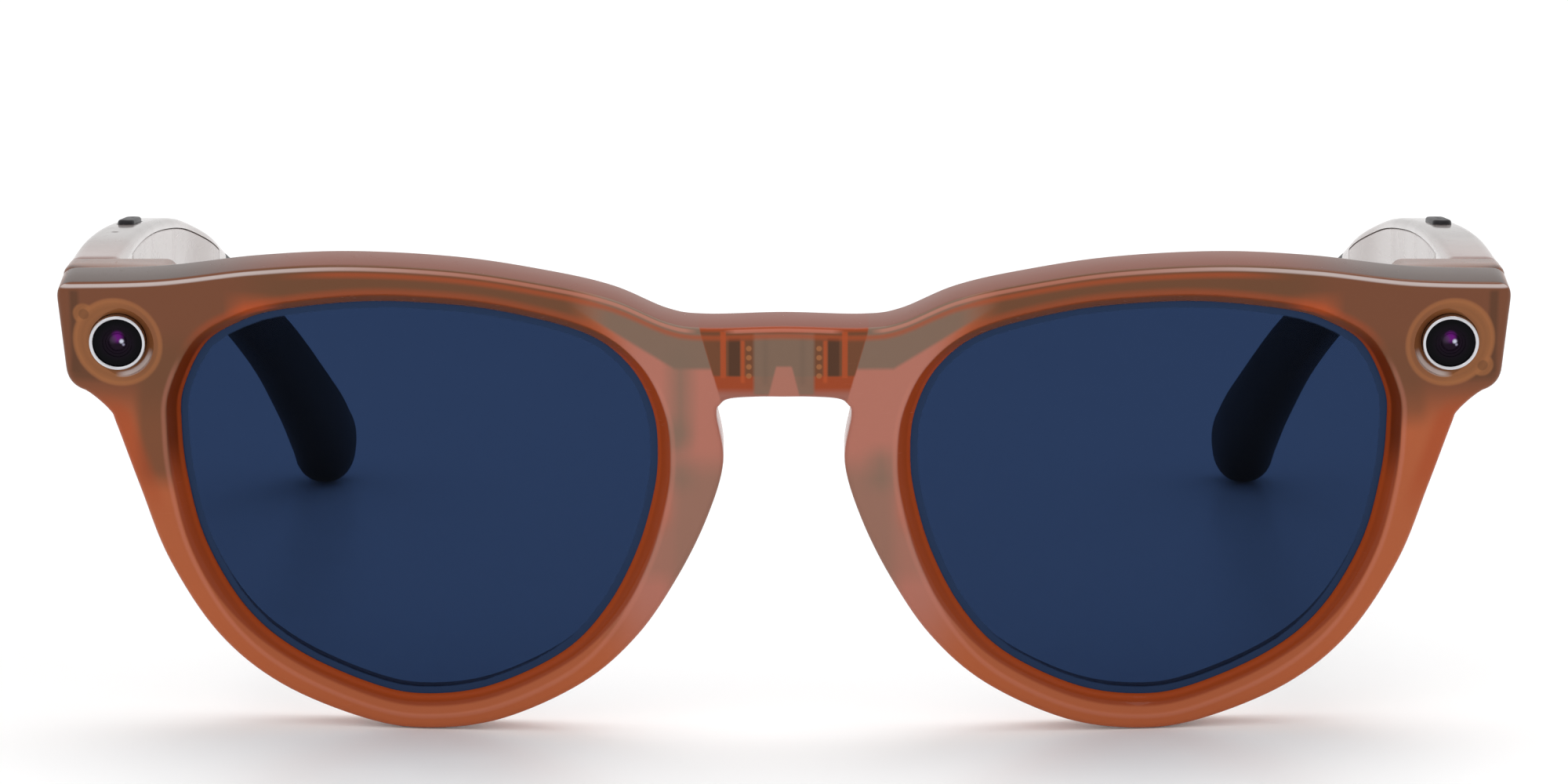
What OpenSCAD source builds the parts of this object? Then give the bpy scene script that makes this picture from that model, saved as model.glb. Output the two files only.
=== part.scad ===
// Camera glasses with electronics in the brow and in both temples.
// +X is the wearer's left, the lenses face -Y, the temples run towards +Y, +Z is up.
// The glasses stand on the two rims and the two temple tips, and the origin is under their middle.

/* [Front] */
// Width of one lens opening
aperture_w = 48.2; // [38:0.1:60]
// Height of one lens opening
aperture_h = 41.6; // [34:0.1:52]
// Gap between the two lens openings
bridge_w = 25.3; // [20:0.1:32]
// Height of the bridge between the brow line and the nose arch
bridge_h = 7.4; // [6.8:0.1:10]
// Height of the brow above the middle of a lens opening
brow_h = 4.3; // [4.1:0.1:7]
// Width of the end piece outside a lens opening
end_w = 12.4; // [12:0.1:16]
// Height of the end piece on its outer side
end_h = 10.7; // [10.6:0.1:14]
// Rim width multiplier round the lower part of each lens
rim_scale = 1; // [0.8:0.05:1.4]
// Thickness of the front
front_t = 6; // [5.4:0.1:8]
// Radius that the front is wrapped to
wrap_r = 300; // [200:10:600]
// Forward lean of the front, in degrees
tilt = 8.2; // [4:0.1:12]

/* [Front walls and lenses] */
// Wall between the front face and the pockets
skin = 1.4; // [1:0.1:1.8]
// Wall above the brow channel
brow_wall = 1.1; // [0.8:0.1:1.5]
// Height of the brow channel
channel_h = 1.5; // [1:0.1:1.7]
// Thickness of the brow cover
cover_t = 1.2; // [0.8:0.1:2]
// Thickness of a lens
lens_t = 1.8; // [1.2:0.1:2.4]
// How deep a lens edge sits in its groove
groove_d = 1; // [0.6:0.1:1.1]
// Depth of the groove behind the front face
groove_y = 2.4; // [2:0.1:3]
// Clearance of glued and snapped parts
fit = 0.05; // [0.02:0.01:0.1]

/* [Cameras] */
// Distance of a camera from the outer side of the front
camera_in = 6.3; // [6:0.1:8]
// Height of a camera below the brow's highest line
camera_down = 9.4; // [9:0.1:11]
// Radius of the camera window
window_r = 2.45; // [1.5:0.05:2.6]
// Wall of the bezel ring
bezel_t = 0.4; // [0.3:0.05:0.6]
// Radius of the bracket that holds a camera
bracket_r = 4.3; // [3.8:0.1:4.4]
// Radius of the small screws
screw_r = 0.4; // [0.3:0.05:0.5]

/* [Hinges] */
// Distance from the front's lowest line back to the butt of the end piece
butt_y = 14; // [13:0.5:18]
// Gap between the end piece and the open temple
temple_gap = 0.3; // [0.2:0.05:0.6]
// Radius of a hinge knuckle
knuckle_r = 1.7; // [1.5:0.05:2]
// Radius of the hinge pin
pin_r = 0.8; // [0.6:0.05:1]
// Running clearance of the hinge pin
pin_fit = 0.04; // [0.02:0.01:0.08]
// Height of each outer knuckle
knuckle_h = 2.3; // [2:0.1:2.6]
// Gap between knuckles
knuckle_gap = 0.15; // [0.1:0.01:0.3]
// Thickness of the hinge leaves
leaf_t = 1; // [0.8:0.1:1.2]

/* [Temples] */
// Length of the temple housing, from the butt to the ear tip
housing_l = 93.7; // [80:0.1:120]
// Thickness of the temple at the front
temple_t = 6; // [5.8:0.1:8]
// Wall of the temple housing
wall = 1.1; // [0.9:0.1:1.4]
// Thickness of the inner temple cover
inner_t = 0.9; // [0.7:0.1:1.2]
// Height of the temple where the ear tip starts
ear_h = 7.8; // [7:0.1:10]
// Thickness of the temple where the ear tip starts
ear_t = 4.2; // [4:0.1:6]
// Length of the ear tip along Y
tip_l = 38.5; // [30:0.5:55]
// How far the ear tip bends inwards
tip_in = 11; // [4:0.5:14]
// Height of the paddle at the end of the ear tip
paddle_h = 10.2; // [8:0.1:13]
// Thickness of the paddle
paddle_t = 7.2; // [5:0.1:8]
// Radius of the steel core wire in the ear tip
core_r = 0.8; // [0.5:0.05:1.1]

/* [Controls and electronics] */
// Distance from the butt to the middle of the capture button
button_y = 38; // [34:1:44]
// Length of the capture button
button_l = 9; // [6:0.5:12]
// Width of the capture button
button_w = 1.8; // [1.4:0.1:2]
// How far the capture button stands proud
button_proud = 0.5; // [0.45:0.05:0.8]
// Travel of the capture button
button_travel = 0.4; // [0.2:0.05:0.4]
// Clearance of the sliding controls
slide_fit = 0.15; // [0.1:0.05:0.25]
// Length of the power slider's knob
slider_l = 3.6; // [3:0.1:5]
// Travel of the power slider
slider_travel = 2; // [1:0.5:3]
// Distance from the butt to the power slider
slider_y = 17; // [16:0.5:20]
// Length of the battery
battery_l = 28; // [20:1:29]
// Length of the main circuit board
board_l = 38; // [30:1:40]
// Length of the speaker
speaker_l = 10; // [7:0.5:12]
// Clearance round the parts inside a temple
part_gap = 0.15; // [0.1:0.05:0.3]

/* [Hidden] */
$fn = 48;

resin = "#a0603c";
smoke = "#c4b6b0";
navy = "#293a58";
steel = "#b8b8bc";
black = "#141216";
amber = "#8c5a38";
board = "#4a5a48";

// Main places in the plane of the front
hx = aperture_w / 2;
hz = aperture_h / 2;
rim_w = 3 * rim_scale;
lens_x = bridge_w / 2 + hx;
lens_z = rim_w + hz;
brow_z = lens_z + hz + brow_h;
end_x = lens_x + hx + end_w;
end_top = brow_z - 3.7;
end_low = end_top - end_h;
bridge_top = brow_z - 5.5;
bridge_low = bridge_top - bridge_h;
camera_x = end_x - camera_in;
camera_z = brow_z - camera_down;

// Catmull-Rom curve through a list of points, as an open line or a closed loop
function blend(a, b, c, d, t) =
    0.5 * (2 * b + (c - a) * t + (2 * a - 5 * b + 4 * c - d) * t * t + (3 * b - a - 3 * c + d) * t * t * t);
function open_curve(p, n) = let(last = len(p) - 1) concat(
    [for (i = [0 : last - 1]) for (j = [0 : n - 1])
        blend(
            i > 0 ? p[i - 1] : 2 * p[0] - p[1], p[i], p[i + 1],
            i < last - 1 ? p[i + 2] : 2 * p[last] - p[last - 1], j / n
        )],
    [p[last]]
);
function closed_curve(p, n) = let(m = len(p)) [
    for (i = [0 : m - 1]) for (j = [0 : n - 1])
        blend(p[(i + m - 1) % m], p[i], p[(i + 1) % m], p[(i + 2) % m], j / n)
];
function backwards(p) = [for (i = [len(p) - 1 : -1 : 0]) p[i]];
function flipped(p) = [for (q = p) [-q[0], q[1]]];
function lowered(p, d) = [for (q = p) [q[0], q[1] - d]];
// Outward normal of a counter-clockwise loop at point i
function normal_at(p, i) = let(m = len(p), s = p[(i + 1) % m] - p[(i + m - 1) % m]) [s[1], -s[0]] / norm(s);
function grown(p, d) = [for (i = [0 : len(p) - 1]) p[i] + d * normal_at(p, i)];
// Depth of the wrapped front face behind its middle
function wrap_depth(x) = wrap_r - sqrt(wrap_r * wrap_r - x * x);

// Lens opening, counter-clockwise from its top, as shares of the half sizes
lens_form = [
    [-0.03, 1], [-0.35, 0.97], [-0.7, 0.87], [-0.885, 0.71], [-0.98, 0.49], [-1, 0.26],
    [-0.977, 0.04], [-0.906, -0.24], [-0.78, -0.525], [-0.6, -0.755], [-0.3, -0.94], [-0.03, -1],
    [0.2, -0.966], [0.525, -0.81], [0.745, -0.6], [0.907, -0.275], [0.98, 0.06], [1, 0.33],
    [0.986, 0.51], [0.89, 0.74], [0.745, 0.86], [0.58, 0.93], [0.26, 0.99]
];
lens_points = [for (p = lens_form) [lens_x + p[0] * hx, lens_z + p[1] * hz]];
opening = closed_curve(lens_points, 3);

// Brow line from the bridge to the outer corner
brow_half = [
    [bridge_w * 0.31, bridge_top - 0.2], [bridge_w * 0.46, bridge_top + 0.35],
    [lens_x - 0.82 * hx, brow_z - 2.9], [lens_x - 0.56 * hx, brow_z - 1.5],
    [lens_x - 0.18 * hx, brow_z - 0.3], [lens_x + 0.27 * hx, brow_z - 0.1],
    [lens_x + 0.67 * hx, brow_z - 1], [lens_x + 1.08 * hx, brow_z - 2.7], [end_x, end_top]
];
brow_line = open_curve(concat(backwards(flipped(brow_half)), [[0, bridge_top]], brow_half), 4);

// Rim width at lens points 17 down to 5, from the temple side round to the nose side
rim_widths = [6.5, 4.85, 4, 3.6, 3.45, 3.15, 3, 3.1, 3.3, 3.9, 4.65, 5.7, 6.6];
rim_half = [for (i = [0 : len(rim_widths) - 1])
    lens_points[17 - i] + rim_scale * rim_widths[i] * normal_at(lens_points, 17 - i)];
under_half = concat(
    [[end_x - 1, end_low], [end_x - 3, end_low - 0.6], [end_x - 5.2, end_low - 2.4]],
    rim_half,
    [
        [bridge_w * 0.265, bridge_low - 2], [bridge_w * 0.25, bridge_low - 0.8],
        [bridge_w * 0.21, bridge_low - 0.2], [bridge_w * 0.1, bridge_low]
    ]
);
under_line = open_curve(concat(under_half, [[0, bridge_low]], backwards(flipped(under_half))), 3);

// The origin is the bottom centre of the whole box
rest_z = wrap_depth(lens_x) * sin(tilt);
root_y = butt_y + temple_gap;
ear_y = root_y + housing_l;
middle_y = (ear_y + tip_l - bridge_top * sin(tilt)) / 2;
tall = brow_z + 20;

module placed() { translate([0, -middle_y, -rest_z]) children(); }
module both() {
    children();
    mirror([1, 0, 0]) children();
}
// side is 1 for the wearer's left and -1 for the wearer's right
module on_side(side) { placed() mirror([side < 0 ? 1 : 0, 0, 0]) children(); }
module leaned() { rotate([tilt, 0, 0]) children(); }
// Extrudes a drawing of the front from one depth to another, flat or wrapped
module slab(from, to) { translate([0, to, 0]) rotate([90, 0, 0]) linear_extrude(to - from) children(); }
module drum(depth) {
    translate([0, wrap_r, -tall / 2]) cylinder(r = wrap_r - depth, h = 2 * tall, $fn = 180);
}
module layer(from, to) {
    difference() {
        intersection() {
            slab(-2, wrap_depth(end_x) + to + 1) children();
            drum(from);
        }
        drum(to);
    }
}
module stadium(w, l) {
    square([w, l - w], center = true);
    for (s = [-1, 1]) translate([0, s * (l - w) / 2]) circle(d = w);
}
// Round-ended bar from p to q
module capsule(p, q, r) {
    v = q - p;
    l = norm(v);
    translate(p) rotate([0, acos(v[2] / l), atan2(v[1], v[0])]) rotate_extrude() intersection() {
        translate([0, l / 2]) stadium(2 * r, l + 2 * r);
        translate([0, -r]) square([r, l + 2 * r]);
    }
}

// End piece: a level block behind the leaning front
block_back = wrap_depth(end_x) + front_t;
block_top = block_back * sin(tilt) + end_top * cos(tilt);
block_low = block_back * sin(tilt) + end_low * cos(tilt);
block_in = end_x - 11.4;
pocket_in = end_x - 10.7;
pocket_out = end_x - 1.7;
pocket_low = block_low + 0.6;
pocket_top = block_top - 1.1;
front_most = 20;
module end_box(x0, x1, z0, z1, y1) {
    translate([x0, -front_most, z0]) cube([x1 - x0, y1 + front_most, z1 - z0]);
}

// Brow channel and the bridge pockets
channel_out = pocket_in + 0.4;
module channel(x0, x1, gap) {
    intersection() {
        polygon(concat(
            lowered(brow_line, brow_wall + gap), backwards(lowered(brow_line, brow_wall + channel_h - gap))
        ));
        translate([x0, 0]) square([x1 - x0, tall]);
    }
}
pocket_rib = 0.5;
bridge_pocket_x = bridge_w * 0.23;
bridge_pocket_z = bridge_low + 1.4;
bridge_pocket_h = bridge_top - brow_wall - 0.2 - bridge_pocket_z;
side_pocket_in = bridge_pocket_x + pocket_rib;
side_pocket_w = bridge_w * 0.06;
module bridge_pocket(gap) {
    translate([-bridge_pocket_x + gap, bridge_pocket_z + gap])
        square([2 * (bridge_pocket_x - gap), bridge_pocket_h - 2 * gap]);
}
module side_pocket() {
    translate([side_pocket_in, bridge_pocket_z + 1]) square([side_pocket_w, bridge_pocket_h - 1.4]);
}

// Charging contacts in two columns through the bridge cover
contact_r = 0.35;
contact_pitch = 0.95;
contact_x = bridge_w * 0.138;
contact_rows = 4;
module contact_spots() {
    middle = bridge_pocket_z + bridge_pocket_h / 2;
    for (x = [-1, 1]) for (k = [0 : contact_rows - 1])
        translate([x * contact_x, middle + (k - (contact_rows - 1) / 2) * contact_pitch]) children();
}

// Cameras look straight out of the leaning front
camera_y = wrap_depth(camera_x);
bezel_r = window_r + bezel_t;
bracket_t = 0.8;
bracket_y = wrap_depth(camera_x + bracket_r) + skin + 0.15;
ear_x = 3.4;
ear_z = 2.7;
window_t = 0.8;
window_in = 0.25;
bezel_out = 0.5;
barrel_y = camera_y - window_in + window_t + fit;
barrel_l = bracket_y + bracket_t + 2 * fit - barrel_y;
module at_camera() { leaned() translate([camera_x, 0, camera_z]) rotate([-90, 0, 0]) children(); }
// The bracket's screw ear is above the right camera and below the left one
module at_ear(side) { translate([ear_x, side * ear_z]) children(); }

// Hinges
hinge_x = end_x - 6.5;
hinge_y = butt_y + temple_gap / 2;
hinge_h = 3 * knuckle_h + 2 * knuckle_gap;
hinge_z = (block_low + block_top - hinge_h) / 2;
plate_t = 1.2;
plate_gap = 0.1;
post_l = 2;
front_screw_x = pocket_out - 1.3;
front_screws_z = [pocket_low + 1.6, pocket_top - 1.6];
module knuckle(z0, bore) {
    translate([hinge_x, hinge_y, z0]) difference() {
        cylinder(r = knuckle_r, h = knuckle_h);
        translate([0, 0, -1]) cylinder(r = bore, h = knuckle_h + 2);
    }
}
module front_screw_bores(r, l) {
    for (z = front_screws_z) translate([front_screw_x, butt_y + 1, z]) rotate([90, 0, 0]) cylinder(r = r, h = l + 1);
}

module front_solid() {
    leaned() layer(0, front_t) polygon(concat(brow_line, under_line));
    both() intersection() {
        end_box(block_in, end_x - 0.15, block_low, block_top, butt_y);
        leaned() drum(front_t - 0.5);
    }
    // Moulded nose pads behind the nose side of the rims
    pad_r = 1.9;
    high = grown(lens_points, 3.5)[6];
    low = grown(lens_points, 2.6)[7];
    both() leaned() capsule([high[0], front_t + 0.1, high[1]], [low[0], front_t + 0.3, low[1]], pad_r);
}
// Posts for the bracket screws and the hinge screws
module posts() {
    for (side = [-1, 1]) mirror([side < 0 ? 1 : 0, 0, 0]) at_camera() at_ear(side)
        translate([0, 0, bracket_y - 1.2]) cylinder(r = 0.9, h = 1.2);
    both() for (z = front_screws_z) translate([front_screw_x - 1, butt_y - plate_t - post_l, z - 1])
        cube([pocket_out - front_screw_x + 1.2, post_l, 2]);
}
module front_frame() {
    color(resin) placed() difference() {
        union() {
            difference() {
                front_solid();
                leaned() {
                    layer(-1, front_t + 7) both() polygon(opening);
                    layer(groove_y, groove_y + lens_t + 2 * fit) both() polygon(grown(opening, groove_d));
                    layer(skin, front_t + 7) channel(-channel_out, channel_out, 0);
                    layer(skin, front_t + 7) bridge_pocket(0);
                    layer(skin, front_t + 7) both() side_pocket();
                }
                both() intersection() {
                    end_box(pocket_in, pocket_out, pocket_low, pocket_top, butt_y + 1);
                    leaned() drum(skin);
                }
                both() at_camera() cylinder(r = bezel_r + fit, h = bracket_y);
            }
            posts();
        }
        for (side = [-1, 1]) mirror([side < 0 ? 1 : 0, 0, 0]) at_camera() at_ear(side)
            translate([0, 0, bracket_y - 0.9]) cylinder(r = screw_r, h = 2);
        both() front_screw_bores(screw_r, 4.5);
    }
}
module brow_cover(side) {
    color(resin) on_side(side) leaned() layer(front_t - cover_t, front_t)
        channel(bridge_pocket_x + fit, channel_out - 1, fit);
}
module bridge_cover() {
    color(resin) placed() leaned() slab(front_t - cover_t, front_t) difference() {
        bridge_pocket(fit);
        contact_spots() circle(r = contact_r + fit);
    }
}
module lens(side) {
    color(navy, 0.9) on_side(side) leaned() layer(groove_y + fit, groove_y + fit + lens_t)
        polygon(grown(opening, groove_d - fit));
}

module camera_window(side) {
    color(black) on_side(side) at_camera() translate([0, 0, camera_y - window_in])
        cylinder(r = window_r, h = window_t);
}
module camera_bezel(side) {
    color(steel) on_side(side) at_camera() translate([0, 0, camera_y - bezel_out])
        linear_extrude(bracket_y + bracket_t - camera_y + bezel_out) difference() {
            circle(r = bezel_r);
            circle(r = window_r);
        }
}
module camera_barrel(side) {
    color("#2a2a30") on_side(side) at_camera() translate([0, 0, barrel_y]) {
        cylinder(r = window_r - 0.75, h = barrel_l);
        translate([0, 0, barrel_l - 0.8]) cylinder(r = window_r - 0.1, h = 0.8);
    }
}
module camera_sensor(side) {
    color(board) on_side(side) at_camera() translate([0, 0, barrel_y + barrel_l]) {
        translate([-2.6, -2.6, 0]) cube([5.2, 5.2, 0.9]);
        translate([-3, -3, 0.9]) cube([6, 6, 0.5]);
    }
}
module camera_bracket(side) {
    color(amber) on_side(side) at_camera() translate([0, 0, bracket_y]) linear_extrude(bracket_t) difference() {
        intersection() {
            union() {
                circle(r = bracket_r);
                at_ear(side) circle(r = 1.1);
                rotate(side * atan(ear_z / ear_x)) translate([0, -1.1]) square([norm([ear_x, ear_z]), 2.2]);
            }
            translate([-bracket_r, -bracket_r]) square([bracket_r + pocket_out - camera_x - 0.1, bracket_r + 3.4]);
        }
        circle(r = bezel_r + fit);
        at_ear(side) circle(r = screw_r + fit);
    }
}
module camera_screws() {
    color(steel) for (side = [-1, 1]) on_side(side) at_camera() at_ear(side) {
        translate([0, 0, bracket_y - 0.8]) cylinder(r = screw_r, h = 0.8 + bracket_t);
        translate([0, 0, bracket_y + bracket_t]) cylinder(r = 0.65, h = 0.4);
    }
}
module capture_led() {
    color("white") on_side(1) at_camera() translate([-4.2, -0.8, bracket_y + bracket_t + fit]) cube([1, 1.6, 0.7]);
}

module front_flex() {
    color("#5a3e2a") placed() leaned() layer(skin + 0.5, skin + 0.8)
        channel(-channel_out - 1.2, channel_out + 1.2, 0.25);
}
board_gap = 0.3;
module bridge_board() {
    color(board) placed() leaned() slab(skin + 1.3, skin + 1.9) difference() {
        translate([-contact_x - 0.8, bridge_pocket_z + board_gap])
            square([2 * contact_x + 1.6, bridge_pocket_h - 2 * board_gap]);
        translate([-1.2, bridge_pocket_z]) square([2.4, 2.3]);
        contact_spots() circle(r = contact_r);
    }
}
module bridge_blocks() {
    color("#2c241c") placed() leaned() slab(skin + 1, skin + 2.6) both()
        translate([contact_x + 1, bridge_pocket_z + board_gap])
            square([bridge_pocket_x - contact_x - 1.2, bridge_pocket_h - 2 * board_gap]);
}
module charging_contacts() {
    color("gold") placed() leaned() slab(skin + 1, front_t + 0.1) contact_spots() circle(r = contact_r);
}
module nose_microphone() {
    color(steel) placed() leaned() slab(skin + 1, skin + 2.4)
        translate([-1, bridge_pocket_z + 0.3]) square([2, 1.6]);
}

module front_hinge(side) {
    color(steel) on_side(side) {
        difference() {
            translate([pocket_in + plate_gap, butt_y - plate_t, pocket_low + plate_gap])
                cube([pocket_out - pocket_in - 2 * plate_gap, plate_t, pocket_top - pocket_low - 2 * plate_gap]);
            translate([hinge_x, hinge_y, hinge_z + knuckle_h])
                cylinder(r = knuckle_r + slide_fit, h = knuckle_h + 2 * knuckle_gap);
            translate([hinge_x, hinge_y, hinge_z - 1]) cylinder(r = pin_r, h = hinge_h + 2);
            front_screw_bores(screw_r + fit, 4.5);
        }
        for (z = [hinge_z, hinge_z + hinge_h - knuckle_h]) knuckle(z, pin_r);
    }
}
module front_hinge_screws() {
    color(steel) for (side = [-1, 1]) on_side(side) for (z = front_screws_z)
        translate([front_screw_x, butt_y - plate_t - 1.6, z]) rotate([-90, 0, 0])
            cylinder(r = screw_r, h = plate_t + 1.6);
}
module hinge_pin(side) {
    color(steel) on_side(side) translate([hinge_x, hinge_y, hinge_z - 0.2]) cylinder(r = pin_r, h = hinge_h + 0.4);
}

// Temple lines, as [place along Y, height] and [place along Y, distance from the middle]
ear_z_mid = block_top - 16.5;
ear_x_mid = end_x - 6;
function run(f) = root_y + f * housing_l;
top_line = open_curve([
    [run(0), block_top], [run(0.17), block_top - 0.2], [run(0.35), block_top - 1.3],
    [run(0.55), block_top - 3.3], [run(0.75), block_top - 6], [run(0.89), block_top - 9.3],
    [ear_y, ear_z_mid + ear_h / 2]
], 4);
low_line = open_curve([
    [run(0), block_low], [run(0.17), block_low - 1.6], [run(0.38), block_low - 3], [run(0.6), block_low - 3.9],
    [run(0.75), block_low - 5.2], [run(0.89), block_low - 7.5], [ear_y, ear_z_mid - ear_h / 2]
], 4);
outer_line = open_curve([
    [run(0), end_x + 0.1], [run(0.27), end_x + 0.3], [run(0.6), end_x], [run(0.75), end_x - 1.1],
    [run(0.89), end_x - 2.7], [ear_y, ear_x_mid + ear_t / 2]
], 4);
inner_line = open_curve([
    [run(0), end_x + 0.1 - temple_t], [run(0.17), end_x + 0.5 - temple_t],
    [run(0.5), end_x + 0.8 - temple_t], [run(0.75), end_x + 0.3 - temple_t],
    [run(0.89), end_x - 1.3 - temple_t], [ear_y, ear_x_mid - ear_t / 2]
], 4);

// Piece of a temple between two places, with its faces set in from the temple's lines
module side_view(edge) {
    rotate([90, 0, 90]) linear_extrude(end_x + 10)
        polygon(concat(lowered(top_line, edge), backwards(lowered(low_line, -edge))));
}
module temple_solid(y0, y1, edge, inner, outer) {
    intersection() {
        side_view(edge);
        linear_extrude(tall) polygon(concat(
            [for (p = outer_line) [p[1] - outer, p[0]]], backwards([for (p = inner_line) [p[1] + inner, p[0]]])
        ));
        translate([0, y0, 0]) cube([end_x + 10, y1 - y0, tall]);
    }
}
module temple_skin(y0, y1, edge, line, from, to) {
    intersection() {
        side_view(edge);
        linear_extrude(tall) polygon(concat(
            [for (p = line) [p[1] + from, p[0]]], backwards([for (p = line) [p[1] + to, p[0]]])
        ));
        translate([0, y0, 0]) cube([end_x + 10, y1 - y0, tall]);
    }
}
// Walls of the free box inside a temple between two places
function along(line, y0, y1) = [for (s = [0 : 0.25 : 1]) lookup(y0 + s * (y1 - y0), line)];
function bay_in(y0, y1) = max(along(inner_line, y0, y1)) + inner_t + part_gap;
function bay_out(y0, y1) = min(along(outer_line, y0, y1)) - wall - part_gap;
function bay_low(y0, y1) = max(along(low_line, y0, y1)) + wall + part_gap;
function bay_top(y0, y1) = min(along(top_line, y0, y1)) - wall - part_gap;
// Box in that bay: from and to are shares of its width, lowered by drop at its top
module bay_box(y0, y1, from, to, drop) {
    x0 = bay_in(y0, y1);
    w = bay_out(y0, y1) - x0;
    z0 = bay_low(y0, y1);
    translate([x0 + from * w, y0, z0]) cube([(to - from) * w, y1 - y0, bay_top(y0, y1) - drop - z0]);
}

// Temple hinge leaf and its seat
leaf_l = 9;
leaf_h = 6;
leaf_step = 2.2;
leaf_x = hinge_x + knuckle_r;
leaf_z = hinge_z + knuckle_h + knuckle_gap;
leaf_mid = leaf_z + knuckle_h / 2;
temple_screw_y = root_y + leaf_l - 2;
module leaf_form(gap) {
    translate([leaf_x - leaf_t - 20 * gap, hinge_y, leaf_z - gap])
        cube([leaf_t + 21 * gap, root_y + leaf_l - hinge_y + gap, knuckle_h + 2 * gap]);
    translate([leaf_x - leaf_t - 20 * gap, root_y + leaf_step - gap, leaf_mid - leaf_h / 2 - gap])
        cube([leaf_t + 21 * gap, leaf_l - leaf_step + 2 * gap, leaf_h + 2 * gap]);
}
module temple_screw_spots() {
    for (s = [-1, 1]) translate([leaf_x, temple_screw_y, leaf_mid + s * 1.8]) rotate([0, 90, 0]) children();
}

cavity_y = root_y + leaf_l + 1.5;
cavity_end = ear_y - 5;

// Capture button, pressed down into the top of the right temple
press_y = root_y + button_y;
press_z = lookup(press_y, top_line);
press_x = (lookup(press_y, outer_line) - wall + lookup(press_y, inner_line) + inner_t) / 2;
press_slope = atan((lookup(press_y + 4, top_line) - lookup(press_y - 4, top_line)) / 8);
flange_t = 0.5;
flange_z = wall + 0.1;
switch_drop = flange_z + flange_t + button_travel + 0.05;
switch_h = 1;
module at_button() { translate([press_x, press_y, press_z]) rotate([press_slope, 0, 0]) children(); }
module button_slot() {
    at_button() translate([0, 0, -wall - 1]) linear_extrude(wall + 3)
        stadium(button_w + 2 * slide_fit, button_l + 2 * slide_fit);
}

// Power slider in the left temple's inner cover
slider_w = 1.6;
slider_z = (lookup(root_y + slider_y, top_line) + lookup(root_y + slider_y, low_line)) / 2;
slider_x = lookup(root_y + slider_y, inner_line);
slider_proud = 0.4;
module at_slider(x, y) { translate([slider_x + x, root_y + slider_y + y, slider_z]) rotate([0, 90, 0]) children(); }
module slider_slot() {
    at_slider(-1, slider_travel / 2) linear_extrude(inner_t + 2)
        stadium(slider_w + 2 * slide_fit, slider_l + slider_travel + 2 * slide_fit);
}

// Speaker with its slot in the lower edge
speaker_y = run(0.61);
slot_l = speaker_l - 3;
slot_w = 1.2;
slot_y = speaker_y + speaker_l / 2;
slot_x = (lookup(slot_y, outer_line) - wall + lookup(slot_y, inner_line) + inner_t) / 2;
slot_slope = atan((lookup(slot_y + 4, low_line) - lookup(slot_y - 4, low_line)) / 8);
module at_slot() { translate([slot_x, slot_y, lookup(slot_y, low_line)]) rotate([slot_slope, 0, 0]) children(); }

// Microphone near the front of each temple's top edge
microphone_y = root_y + 22;
microphone_x = (lookup(microphone_y, outer_line) + lookup(microphone_y, inner_line)) / 2;
microphone_w = 1.6;

// Plain metal inlay on the outer side
inlay_y = root_y + 20;
inlay_z = lookup(inlay_y, top_line) - 2.9;
inlay_w = 1.3;
inlay_l = 6.5;
inlay_t = 0.4;
module inlay_form(gap) {
    translate([lookup(inlay_y, outer_line) - 0.35 - gap, inlay_y, inlay_z]) rotate([0, 90, 0])
        linear_extrude(inlay_t + gap) stadium(inlay_w + 2 * gap, inlay_l + 2 * gap);
}

module temple_shell(side) {
    color(smoke, 0.85) on_side(side) difference() {
        temple_solid(root_y, ear_y, 0, 0, 0);
        temple_solid(cavity_y, cavity_end, wall, -1, wall);
        leaf_form(fit);
        translate([hinge_x, hinge_y, hinge_z - 0.3]) cylinder(r = knuckle_r + slide_fit, h = hinge_h + 0.6);
        temple_screw_spots() cylinder(r = screw_r, h = 2.4);
        // Bore that takes the core wire
        translate([ear_x_mid, cavity_end - 1, ear_z_mid + 0.6]) rotate([-90, 0, 0]) cylinder(r = core_r + fit, h = 8);
        at_slot() translate([0, 0, -1]) linear_extrude(wall + 2) stadium(slot_w, slot_l);
        inlay_form(fit);
        button_slot();
        if (side < 0) translate([microphone_x, microphone_y, 0]) cylinder(r = 0.4, h = tall);
    }
}
module temple_cover(side) {
    color(smoke, 0.85) on_side(side) difference() {
        temple_skin(cavity_y + fit, cavity_end - fit, wall + fit, inner_line, 0, inner_t);
        if (side > 0) slider_slot();
    }
}
module temple_hinge(side) {
    color(steel) on_side(side) {
        difference() {
            leaf_form(0);
            translate([hinge_x, hinge_y, leaf_z - 1]) cylinder(r = pin_r + pin_fit, h = knuckle_h + 2);
            temple_screw_spots() translate([0, 0, -3]) cylinder(r = screw_r + fit, h = 4);
        }
        knuckle(leaf_z, pin_r + pin_fit);
    }
}
module temple_screws(side) {
    color(steel) on_side(side) temple_screw_spots() translate([0, 0, -leaf_t]) cylinder(r = screw_r, h = leaf_t + 2.2);
}

// Ear tip: rings along a curve that drops to the table and bends inwards
tip_drop = ear_z_mid - paddle_h / 2 - rest_z;
neck_h = ear_h - 0.8;
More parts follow.
